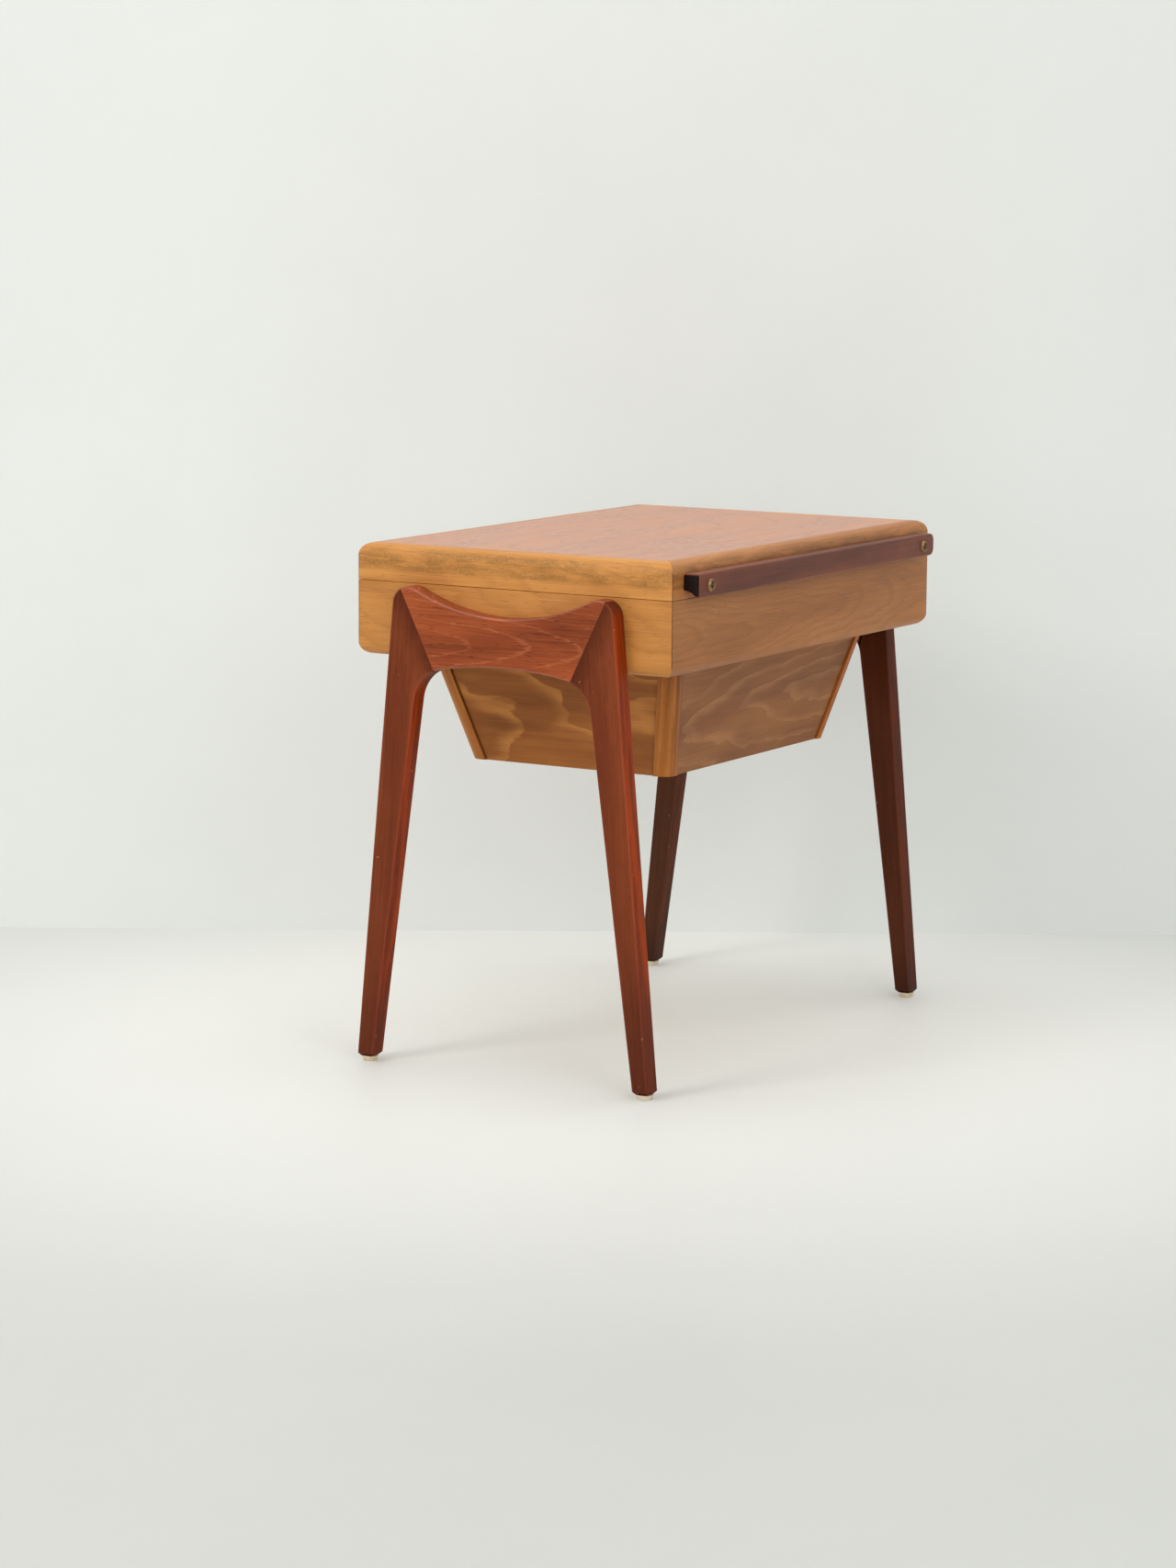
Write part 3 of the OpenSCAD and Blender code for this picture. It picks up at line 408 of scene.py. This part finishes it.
def pale_dings(t, look, colour):
    """Small pale ticks where the finish is chipped."""
    u, v, w = t.grain
    slanted = t.vector(t.math("ADD", u, v), t.math("SUBTRACT", u, v), w)
    distance, cell_value = t.cells(t.scaled(slanted, DING_STRETCH))
    ticks = t.math("MULTIPLY", t.step(distance, *DING_SIZE, 1.0, 0.0), t.step(cell_value, *DING_RARITY))
    return t.mix(t.math("MULTIPLY", ticks, look["dings"]), colour, DING_COLOUR)


def streaked_side(t, look, colour):
    """Redder faces, with duller streaks, square to the axis that look["side"] names."""
    turned = t.step(t.math("ABSOLUTE", t.dot(t.normal, look["side"])), *SIDE_FACING)
    streaks = t.step(t.drawn_noise(SIDE_STREAK_LENGTH, SIDE_STREAK_WIDTH, 3), *SIDE_STREAK_LEVELS)
    side_tint = t.mix(streaks, SIDE_SHADE, SIDE_TINT)
    return t.mix(turned, colour, t.mix(1.0, colour, side_tint, "MULTIPLY"))


def post_shadow(t, look, colour):
    """A dark line beside each corner post, on the panel between two of them: a painted shadow of the proud
    post.
    """
    axis, middle, low_half, high_half, low, high = look["post_line"]
    slope = (high_half - low_half) / (high - low)
    edge = t.math("MULTIPLY_ADD", t.math("SUBTRACT", t.dot(t.place, Z), low), slope, low_half)
    reach = t.math("ABSOLUTE", t.math("SUBTRACT", t.dot(t.place, axis), middle))
    # The line is a painted shadow of the proud post.
    dirt = t.step(t.math("SUBTRACT", edge, reach), *POST_SHADOW_REACH, POST_SHADOW_SHARE, 0.0)
    return t.mix(dirt, colour, shade(look["dark"], POST_SHADOW_SHADE))


def mitre_stain(t, look, colour):
    """A smudged dark patch along a leg's mitre."""
    middle, near_y, near_z, lean = look["mitre"]
    out_y = t.math("ABSOLUTE", t.math("SUBTRACT", t.dot(t.place, Y), middle))
    from_mitre = t.math("MULTIPLY", t.math("SUBTRACT", out_y, near_y), math.cos(lean))
    rise = t.math("SUBTRACT", t.dot(t.place, Z), near_z)
    from_mitre = t.math("MULTIPLY_ADD", rise, -math.sin(lean), from_mitre)
    smudge = t.noise(t.place, 1 / SMUDGE_SIZE, roughness=0.6)
    from_mitre = t.math("MULTIPLY_ADD", smudge, SMUDGE_REACH, from_mitre)
    stain = t.step(from_mitre, *MITRE_STAIN_REACH, MITRE_STAIN_SHARE, 0.0)
    return t.mix(stain, colour, shade(look["dark"], MITRE_STAIN_SHADE))


def joint_lines(t, look, colour):
    """A dark line at each end of a board, where it meets the next one."""
    axis, low, high = look["ends_at"]
    reach = t.dot(t.place, axis)
    gap = t.math("MINIMUM", t.math("SUBTRACT", reach, low), t.math("SUBTRACT", high, reach))
    joint = t.step(gap, JOINT_LINE / 3, JOINT_LINE, JOINT_SHARE, 0.0)
    return t.mix(joint, colour, shade(look["dark"], JOINT_SHADE))


def foot_darkening(t, look, colour):
    """A leg that is darker from the floor up to the height look["foot"]."""
    ragged = t.noise(t.place, 1 / RAGGED_SIZE, detail=2)
    z = t.math("MULTIPLY_ADD", ragged, RAGGED_REACH, t.dot(t.place, Z))
    return t.mix(t.step(z, FOOT_LOW, look["foot"], FOOT_SHARE, 0.0), colour, FOOT_COLOUR)


# The value that turns each mark on, and what draws it, from the first layer to the last
MARKS = {
    "stain": band_stain,
    "dings": pale_dings,
    "side": streaked_side,
    "post_line": post_shadow,
    "mitre": mitre_stain,
    "ends_at": joint_lines,
    "foot": foot_darkening,
}

# -------------------------------------------------------- metal and plastic

# Metal: size of its patches, the levels of their noise at which it is dull and clean, what the
# patches and the scratches add to the roughness, and how deep the scratches are
METAL_PATCH = 5 * MM
METAL_DULL, METAL_CLEAN = 0.35, 0.62
DULLNESS, POLISH, SCRATCH_ROUGHNESS = 0.1, -0.18, 0.075
SCRATCH_SCALE = (2400, 300, 2400)
SCRATCH_RELIEF = 0.02 * MM

# Plastic: size of its patches, the levels at which it is yellowed and clean, and the grime, whose
# share falls from the first GRIME_SHARE at the floor to the second at SCUFF_HEIGHT
PLASTIC_PATCH = 6 * MM
PLASTIC_WORN, PLASTIC_CLEAN = 0.3, 0.65
PATCH_ROUGHNESS = 0.2
GRIME_SCALE = (500, 500, 160)
GRIME_LEVELS = (0.45, 0.7)
GRIME_SHARE = (0.5, 0.08)
GRIME_COLOUR = srgb(126, 108, 82)
GRIME_RELIEF = 0.03 * MM
SCUFF_HEIGHT = 3 * MM


def metal(name, colour, dull, roughness):
    """Worn metal: dull patches, fine scratches and a little uneven polish."""
    t = Tree(name)
    patches = t.noise(t.place, 1 / METAL_PATCH, detail=4, roughness=0.65)
    body = t.ramp(patches, (METAL_DULL, dull), (METAL_CLEAN, colour))
    scratches = t.noise(t.scaled(t.place, SCRATCH_SCALE), detail=2)
    rough = t.math("MULTIPLY_ADD", patches, POLISH, roughness + DULLNESS)
    rough = t.math("MULTIPLY_ADD", scratches, SCRATCH_ROUGHNESS, rough, clamp=True)
    return t.finish(body, rough, scratches, SCRATCH_RELIEF, Metallic=1.0)


def plastic(name, colour, worn, roughness):
    """Aged moulded plastic, yellowed in patches and scuffed low down."""
    t = Tree(name)
    patches = t.noise(t.place, 1 / PLASTIC_PATCH, detail=4, roughness=0.6)
    grime = t.noise(t.scaled(t.place, GRIME_SCALE), roughness=0.7)
    body = t.ramp(patches, (PLASTIC_WORN, worn), (PLASTIC_CLEAN, colour))
    low = t.step(t.dot(t.place, Z), 0.0, SCUFF_HEIGHT, *GRIME_SHARE)
    body = t.mix(t.math("MULTIPLY", t.step(grime, *GRIME_LEVELS), low), body, GRIME_COLOUR)
    rough = t.math("MULTIPLY_ADD", patches, PATCH_ROUGHNESS, roughness)
    return t.finish(body, rough, grime, GRIME_RELIEF)


# ------------------------------------------------------------- eased edges

SHARP_DEG = 25
FLAT_DEG = 1.5
WELD_GAP = 0.002 * MM

# How far each kind of piece's edges are rounded
FRAME_EASE = 1.9 * MM
BAR_EASE = 1.0 * MM
CASE_EASE = 0.5 * MM
BOARD_EASE = 0.4 * MM
PANEL_EASE = 0.3 * MM
GLIDE_EASE = 0.2 * MM
METAL_EASE = 0.12 * MM
TOP_EASE = 0.1 * MM

# On the end frames: the share of FRAME_EASE at the mitres and below FOOT_TOP, the ring round each
# screw that isn't rounded, and how near to a big face a point must be to lie on it
MITRE_SHARE, FOOT_TOP_SHARE = 0.08, 0.25
FOOT_TOP = 9 * MM
SCREW_RING = 4.6 * MM
ON_FACE = 0.02 * MM


def weigh_edges(mesh, weights):
    """Stores how much of the bevel's width each edge takes."""
    attribute = mesh.attributes.new("bevel_weight_edge", "FLOAT", "EDGE")
    places = [v.co for v in mesh.vertices]
    for edge, share in zip(mesh.edges, attribute.data):
        a, b = (places[i] for i in edge.vertices)
        share.value = weights((a + b) / 2, a, b)


def eased(name, width, segments=2, weights=None):
    """Rounds a CAD node's sharp edges by width, with modifiers. weights(middle, a, b) gives the share
    of it that an edge from a to b takes; without it every sharp edge takes all of it."""
    node = NODES[name]
    weld = node.modifiers.new("weld", "WELD")
    weld.merge_threshold = WELD_GAP
    flat = node.modifiers.new("flat faces", "DECIMATE")
    flat.decimate_type = "DISSOLVE"
    flat.angle_limit = math.radians(FLAT_DEG)
    ease = node.modifiers.new("eased edges", "BEVEL")
    ease.width = width
    ease.segments = segments
    ease.use_clamp_overlap = weights is None
    ease.harden_normals = False
    ease.material = len(node.data.materials) - 1
    ease.miter_outer = "MITER_ARC" if weights is None else "MITER_SHARP"
    if weights is None:
        ease.limit_method = "ANGLE"
        ease.angle_limit = math.radians(SHARP_DEG)
    else:
        ease.limit_method = "WEIGHT"
        weigh_edges(node.data, weights)
    smooth = node.modifiers.new("even shading", "WEIGHTED_NORMAL")
    smooth.weight = 80


def rounded_place(point):
    """A point's place, rounded so that two pieces' shared corners compare as equal."""
    return point.to_tuple(5)


def mitre_points(name):
    """The corner points that this leg or crossrail shares with the pieces that it is mitred to."""
    side = name.rsplit("_", 1)[1]
    if name.startswith("leg"):
        partners = [f"crossrail_{side}"]
    else:
        partners = [f"leg_front_{side}", f"leg_back_{side}"]
    return {rounded_place(v.co) for partner in partners for v in NODES[partner].data.vertices}


def frame_edge_weights(name):
    """Weights that round a leg or crossrail along both big faces, and hardly at the mitre or the foot."""
    low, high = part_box(name)
    screws = [v.co for side in SIDES for v in NODES[f"frame_screws_{side}"].data.vertices]
    shared = mitre_points(name)

    def share(middle, a, b):
        on_face = any(abs(a.x - x) < ON_FACE and abs(b.x - x) < ON_FACE for x in (low.x, high.x))
        if not on_face:
            return 0.0
        if any((middle.yz - s.yz).length < SCREW_RING for s in screws):
            return 0.0
        if name.startswith("leg") and middle.z < FOOT_TOP:
            return FOOT_TOP_SHARE
        if rounded_place(a) in shared and rounded_place(b) in shared:
            return MITRE_SHARE
        return 1.0

    return share


# ------------------------------------------------- finishes, piece by piece

SIDES = ("left", "right")
ENDS = {"front": -Y, "back": Y, "left": -X, "right": X}

# Tints that multiply the colour of some boards of one wood. "Long" pieces run along the table.
# The long case and lid tints paint shade: they darken the long boards against the ends, which face the
# light.
LONG_CASE_SHADE_TINT = (0.78, 0.7, 0.84)
LONG_LID_SHADE_TINT = (0.95, 0.89, 1.1)
END_LID_TINT = (1.12, 1.15, 1.2)
LONG_WELL_TINT = (0.88, 1.0, 1.65)
END_WELL_TINT = (0.91, 0.87, 0.84)
POST_TINT = (0.96, 0.88, 0.7)
FAR_POST_TINT = (1.35, 1.12, 0.8)
# The right frame is darker. The back right leg is darker and greyer still, and its tint is painted shade.
FAR_FRAME_TINT = (0.41, 0.5, 0.56)
BACK_RIGHT_LEG_SHADE_TINT = (0.36, 0.58, 0.74)

LONG_WELL_LOOK = dict(line_share=0.3, rings=17 * MM, blotch=0.4, streak=0.1)
END_WELL_SHIFT = 0.3

# How far apart in the wood one kind's boards are cut, so that no two look the same
CASE_CUT = Vector((310, 170, 50)) * MM
POST_CUT = Vector((20, 13, 210)) * MM
RAIL_CUT = Vector((0, 100, 0)) * MM
LEG_CUT = Vector((70, 50, 230)) * MM
INNER_CUT = Vector((110, 70, 30)) * MM
# Where the crossrails' cathedral figure starts
RAIL_FIGURE = Vector((0, 95, -12)) * MM

# The stain starts this far above the lid's lower edge
STAIN_ABOVE_SPLIT = 8 * MM
# A point on the outer face's mitre, out from the middle and above the floor, and the mitre's lean
MITRE_PLACE = (98.5 * MM, 443 * MM)
MITRE_LEAN = math.radians(26.1)
# How high the legs are darker at each end of the table
FOOT_DARK_HEIGHT = {"left": 180 * MM, "right": 70 * MM}
# How near to a piece's top or bottom a point counts as part of it
NEAR_END = 2 * MM
NEAR_RIM = 0.5 * MM


def centre(node):
    low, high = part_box(node)
    return (low + high) / 2


def dress(node, *finishes):
    """Gives a CAD node its finish, and a second one for its eased edges, which are worn paler and carry a
    painted highlight.
    """
    slots = NODES[node].data.materials
    slots.clear()
    for finish in finishes:
        slots.append(finish)


def dress_with_worn_highlit_edges(node, kind, along, out, origin, tint=PLAIN, **changes):
    """A wood finish, with the same wood worn paler and painted with a highlight on the eased edges."""
    body = wood(node, kind, along, out, origin, tint, **changes)
    # The edges' tint is partly wear and partly a painted highlight.
    worn = tuple(a * b for a, b in zip(tint, WOODS[kind]["edge"]))
    sheen = WOODS[kind].get("edge_gloss", PLAIN_GLOSS)
    edge = wood(f"{node}_edge", kind, along, out, origin, worn, **{**changes, "ends": 0, "gloss": sheen})
    dress(node, body, edge)


def lean_axis(node):
    """The direction from the middle of a leaning piece's bottom to the middle of its top."""
    low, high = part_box(node)
    places = [v.co for v in NODES[node].data.vertices]
    ends = []
    for z in (low.z, high.z):
        near = [p for p in places if abs(p.z - z) < NEAR_END]
        ends.append(sum(near, Vector()) / len(near))
    return (ends[1] - ends[0]).normalized()


def post_line(axis):
    """Where the posts' inner borders run on the two panels across an axis, for the painted shadow beside
    them:
    the axis, its middle, the borders' distance from it at the bottom and the top, and those heights."""
    post, middle = "well_post_back_right", centre("well_floor").dot(axis)
    low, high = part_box(post)
    places = [v.co for v in NODES[post].data.vertices]
    reach = [min(p.dot(axis) for p in places if abs(p.z - z) < NEAR_RIM) - middle for z in (low.z, high.z)]
    return (axis, middle, *reach, low.z, high.z)


def dress_case():
    """The case's boards and, above them, the lid's rails."""
    low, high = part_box("lid_front_rail")
    stain = (low.z + STAIN_ABOVE_SPLIT, high.z)
    for number, (side, out) in enumerate(ENDS.items()):
        long = side in ("front", "back")
        along = X if long else Y
        # The long boards' tints are painted shade.
        case_tint = LONG_CASE_SHADE_TINT if long else PLAIN
        lid_tint = LONG_LID_SHADE_TINT if long else END_LID_TINT
        board, rail = f"case_{side}_board", f"lid_{side}_rail"
        board_low, board_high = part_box(board)
        marks = dict(ends_at=(along, board_low.dot(along), board_high.dot(along)), ends=0)
        board_cut, rail_cut = centre(board) + CASE_CUT * number, centre(rail) - CASE_CUT * number
        dress_with_worn_highlit_edges(board, "case", along, out, board_cut, case_tint, **marks)
        dress_with_worn_highlit_edges(rail, "case", along, out, rail_cut, lid_tint, **marks, stain=stain)
        eased(board, CASE_EASE)
        eased(rail, BOARD_EASE)


def dress_well():
    for number, (side, out) in enumerate(ENDS.items()):
        panel = f"well_panel_{side}"
        if side in ("front", "back"):
            look = dict(LONG_WELL_LOOK, post_line=post_line(X))
            finish = wood(panel, "well", X, out, centre(panel), LONG_WELL_TINT, **look)
        else:
            cut = centre(panel) + CASE_CUT * number * END_WELL_SHIFT
            finish = wood(panel, "well", Y, out, cut, END_WELL_TINT, post_line=post_line(Y))
        dress(panel, finish)
        eased(panel, PANEL_EASE)


def dress_top():
    dress("lid_top_panel", wood("lid_top_panel", "top", X, Z, centre("lid_top_panel")))
    eased("lid_top_panel", TOP_EASE)


def dress_posts():
    for number, corner in enumerate(("front_left", "front_right", "back_left", "back_right")):
        post = f"well_post_{corner}"
        along = lean_axis(post)
        out = Vector((along.x, along.y, 0)).cross(Z).cross(along).normalized()
        tint = FAR_POST_TINT if corner == "front_right" else POST_TINT
        dress(post, wood(post, "post", along, out, centre(post) + POST_CUT * number, tint))
        eased(post, BOARD_EASE)


def dress_leg(leg, side, cut, tint):
    """A leg, with its grain running from its glide to the middle of its top."""
    low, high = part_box(leg)
    glide = centre(leg.replace("leg", "glide"))
    along = (Vector((0, (high.y + low.y) / 2, high.z)) - Vector((0, glide.y, 0))).normalized()
    mitre = (centre("lid_top_panel").y, *MITRE_PLACE, MITRE_LEAN)
    marks = dict(dings=0.5, foot=FOOT_DARK_HEIGHT[side], ends=0.3, side=Y, mitre=mitre)
    dress_with_worn_highlit_edges(leg, "leg", along, ENDS[side], centre(leg) + cut, tint, **marks)
    eased(leg, FRAME_EASE, 3, frame_edge_weights(leg))


def dress_frames():
    for number, side in enumerate(SIDES):
        rail = f"crossrail_{side}"
        tint = FAR_FRAME_TINT if side == "right" else PLAIN
        dress_with_worn_highlit_edges(rail, "crossrail", Y, ENDS[side], centre(rail) + RAIL_FIGURE + RAIL_CUT * number, tint)
        eased(rail, FRAME_EASE, 3, frame_edge_weights(rail))
        for end in ("front", "back"):
            leg = f"leg_{end}_{side}"
            # The back right leg's tint is painted shade.
            leg_tint = BACK_RIGHT_LEG_SHADE_TINT if leg == "leg_back_right" else tint
            dress_leg(leg, side, LEG_CUT * number, leg_tint)


def dress_bar():
    dress_with_worn_highlit_edges("pull_bar", "bar", X, -Y, centre("pull_bar"), ends=1.0, end_shade=0.16)
    eased("pull_bar", BAR_EASE)


# The way the grain runs and the way the face looks, board by board
INNER_BOARDS = {
    "tray_front_wall": (X, -Y),
    "tray_back_wall": (X, Y),
    "tray_left_wall": (Y, -X),
    "tray_right_wall": (Y, X),
    "tray_long_divider": (X, Y),
    "tray_cross_dividers": (Y, X),
    "spool_rack": (Y, Z),
    "spool_pegs": (Z, -Y),
    "tray_runner_front": (X, Z),
    "tray_runner_back": (X, Z),
    "mitre_dowels_left": (Z, X),
    "mitre_dowels_right": (Z, X),
}
PLYWOOD_BOARDS = {"case_bottom_board": (X, Z), "well_floor": (X, Z), "tray_bottom": (X, Z)}


def dress_inside():
    for kind, boards in (("inner", INNER_BOARDS), ("plywood", PLYWOOD_BOARDS)):
        for number, (node, (along, out)) in enumerate(boards.items()):
            dress(node, wood(node, kind, along, out, centre(node) + INNER_CUT * number))
            eased(node, BOARD_EASE)


def dress_metal():
    aged_brass = metal("aged_brass", srgb(178, 142, 98), srgb(116, 88, 58), 0.36)
    hinge_brass = metal("hinge_brass", srgb(206, 170, 104), srgb(150, 118, 64), 0.3)
    screw_brass = metal("screw_brass", srgb(104, 78, 62), srgb(58, 42, 34), 0.45)
    steel = metal("bright_steel", srgb(196, 198, 200), srgb(140, 142, 146), 0.28)
    for nodes, finish in (
        (["pull_bar_cup_washers"], aged_brass),
        (["pull_bar_screws"], screw_brass),
        ([f"hinge_{part}_leaf_{side}" for part in ("case", "lid") for side in SIDES], hinge_brass),
        (["hinge_case_screws", "hinge_lid_screws", "hinge_pins"], hinge_brass),
        (["well_screws", "frame_screws_left", "frame_screws_right", "runner_screws", "glide_nails"], steel),
    ):
        for node in nodes:
            dress(node, finish)
            eased(node, METAL_EASE)


def dress_glides():
    cream = plastic("glide_plastic", srgb(226, 212, 186), srgb(206, 186, 150), 0.38)
    for end in ("front", "back"):
        for side in SIDES:
            dress(f"glide_{end}_{side}", cream)
            eased(f"glide_{end}_{side}", GLIDE_EASE)


# ------------------------------------------------------------------- camera

# Solved from the photo's perspective: the camera's place in metres, its turn from looking along +Y,
# its tilt down, its roll and its lens in millimetres
CAMERA_PLACE = Vector((-3.5608, -2.0343, 0.90405))
CAMERA_TURN = math.radians(-59.271)
CAMERA_TILT = math.radians(8.967)
CAMERA_ROLL = math.radians(0.409)
CAMERA_LENS = 92.05


def make_camera():
    """The camera at the photo's viewing angle. Gives the direction from the table back to it."""
    back = Vector((
        math.sin(CAMERA_TURN) * math.cos(CAMERA_TILT),
        -math.cos(CAMERA_TURN) * math.cos(CAMERA_TILT),
        math.sin(CAMERA_TILT),
    ))
    level = Vector((math.cos(CAMERA_TURN), math.sin(CAMERA_TURN), 0))
    up = back.cross(level)
    right = level * math.cos(CAMERA_ROLL) + up * math.sin(CAMERA_ROLL)
    above = up * math.cos(CAMERA_ROLL) - level * math.sin(CAMERA_ROLL)
    turn = Matrix((right, above, back)).transposed().to_4x4()
    data = bpy.data.cameras.new("camera")
    data.lens = CAMERA_LENS
    data.clip_end = 50
    camera = bpy.data.objects.new("camera", data)
    bpy.context.scene.collection.objects.link(camera)
    camera.matrix_world = Matrix.Translation(CAMERA_PLACE) @ turn
    bpy.context.scene.camera = camera
    return back


# --------------------------------------------------------- floor, wall, light

# The floor is painted paler round the middle, as a painted pool of light, and takes its own colour between
# the two reaches. Metres.
FLOOR_COLOUR, FLOOR_ROUGHNESS = srgb(208, 209, 204), 0.55
FLOOR_LIGHT_POOL = srgb(243, 244, 239)
FLOOR_LIGHT_POOL_REACH = (0.25, 1.3)
FLOOR_HALF = 12
WALL_COLOUR, WALL_ROUGHNESS = srgb(236, 239, 236), 0.8
WALL_GAP = 0.52
WALL_HEIGHT = 5

# Paint: patches and ripples in each metre, how dark its patches are, and how high its ripples
PAINT_PATCHES, PAINT_RIPPLES = 3.0, 60.0
PAINT_DULL = 0.97
PAINT_RELIEF = 0.1 * MM

# The world's light is strongest from the bright side, and weakest from the side facing it
BRIGHT_SIDE = (-0.9, 0.2, 0.38)
WORLD_COLOUR = (0.98, 0.99, 1.0, 1)
WORLD_STRENGTH = (0.3, 0.93)

# The point that every light faces
LIGHT_AIM = Vector((0, 0, 0.35))
# The place and width of each light in metres, its watts and its colour
LIGHTS = {
    "left_light": ((-2.55, 0.89, 1.93), 0.9, 21, (1.0, 0.97, 0.93)),
    "front_light": ((-1.70, -2.14, 1.6), 1.1, 10, (1.0, 0.985, 0.97)),
    "ceiling_light": ((0.5, 0.2, 2.7), 2.0, 25, (1.0, 0.99, 0.98)),
}


def make_area_light(name, place, width, watts, colour):
    data = bpy.data.lights.new(name, "AREA")
    data.shape = "SQUARE"
    data.size = width
    data.energy = watts
    data.color = colour
    light = bpy.data.objects.new(name, data)
    bpy.context.scene.collection.objects.link(light)
    light.location = place
    aim = LIGHT_AIM - Vector(place)
    light.rotation_mode = "QUATERNION"
    light.rotation_quaternion = aim.to_track_quat("-Z", "Y")


def plain_mesh(name, corners, material):
    """A flat piece of the stage, as one face through its corners."""
    mesh = bpy.data.meshes.new(name)
    mesh.from_pydata([tuple(c) for c in corners], [], [tuple(range(len(corners)))])
    mesh.materials.append(material)
    obj = bpy.data.objects.new(name, mesh)
    bpy.context.scene.collection.objects.link(obj)
    return obj


def painted(name, colour, roughness, middle=None):
    """Matt paint with a faint unevenness, and another colour round the middle if one is given; on the floor
    that is a paler one, a painted pool of light.
    """
    t = Tree(name)
    patches = t.noise(t.place, PAINT_PATCHES, detail=4, roughness=0.6)
    body = t.ramp(patches, (0.3, shade(colour, PAINT_DULL)), (0.7, colour))
    if middle:
        # The middle colour paints a pool of light round the table.
        x, y = t.dot(t.place, X), t.dot(t.place, Y)
        radius = t.math("SQRT", t.math("ADD", t.math("MULTIPLY", x, x), t.math("MULTIPLY", y, y)))
        body = t.mix(t.step(radius, *FLOOR_LIGHT_POOL_REACH, 1.0, 0.0), body, middle)
    return t.finish(body, roughness, t.noise(t.place, PAINT_RIPPLES), PAINT_RELIEF)


def clear_from_behind(material):
    """Lets the back of a material's faces be seen through."""
    tree = material.node_tree
    geometry = tree.nodes.new("ShaderNodeNewGeometry")
    clear = tree.nodes.new("ShaderNodeBsdfTransparent")
    choose = tree.nodes.new("ShaderNodeMixShader")
    output = next(n for n in tree.nodes if n.type == "OUTPUT_MATERIAL")
    shader = next(n for n in tree.nodes if n.type == "BSDF_PRINCIPLED")
    tree.links.new(geometry.outputs["Backfacing"], choose.inputs[0])
    tree.links.new(shader.outputs[0], choose.inputs[1])
    tree.links.new(clear.outputs[0], choose.inputs[2])
    tree.links.new(choose.outputs[0], output.inputs["Surface"])


def make_stage(back):
    """A pale floor, and a pale wall that only its front shows, so that the back views see past it."""
    half = FLOOR_HALF
    corners = [(-half, -half, 0), (half, -half, 0), (half, half, 0), (-half, half, 0)]
    plain_mesh("floor", corners, painted("floor_paint", FLOOR_COLOUR, FLOOR_ROUGHNESS, FLOOR_LIGHT_POOL))
    away = Vector((-back.x, -back.y, 0)).normalized()
    foot, side, rise = away * WALL_GAP, away.cross(Z) * half, Z * WALL_HEIGHT
    corners = [foot - side, foot + side, foot + side + rise, foot - side + rise]
    wall_paint = painted("wall_paint", WALL_COLOUR, WALL_ROUGHNESS)
    clear_from_behind(wall_paint)
    wall = plain_mesh("wall", corners, wall_paint)
    if wall.data.polygons[0].normal.dot(away) > 0:
        wall.data.flip_normals()


def make_world():
    """Soft light from all round, as in a room whose window is on the left."""
    world = bpy.data.worlds.new("soft_light")
    world.use_nodes = True
    nodes, links = world.node_tree.nodes, world.node_tree.links
    background = nodes["Background"]
    background.inputs["Color"].default_value = WORLD_COLOUR
    direction = nodes.new("ShaderNodeTexCoord")
    leftward = nodes.new("ShaderNodeVectorMath")
    leftward.operation = "DOT_PRODUCT"
    leftward.inputs[1].default_value = BRIGHT_SIDE
    fade = nodes.new("ShaderNodeMapRange")
    for socket, value in zip(fade.inputs[1:5], (-1.0, 1.0, *WORLD_STRENGTH)):
        socket.default_value = value
    links.new(direction.outputs["Generated"], leftward.inputs[0])
    links.new(leftward.outputs["Value"], fade.inputs[0])
    links.new(fade.outputs[0], background.inputs["Strength"])
    bpy.context.scene.world = world


make_stage(make_camera())
make_world()
for light_name, settings in LIGHTS.items():
    make_area_light(light_name, *settings)
bpy.context.scene.view_settings.view_transform = "Standard"

dress_case()
dress_well()
dress_top()
dress_posts()
dress_frames()
dress_bar()
dress_inside()
dress_metal()
dress_glides()
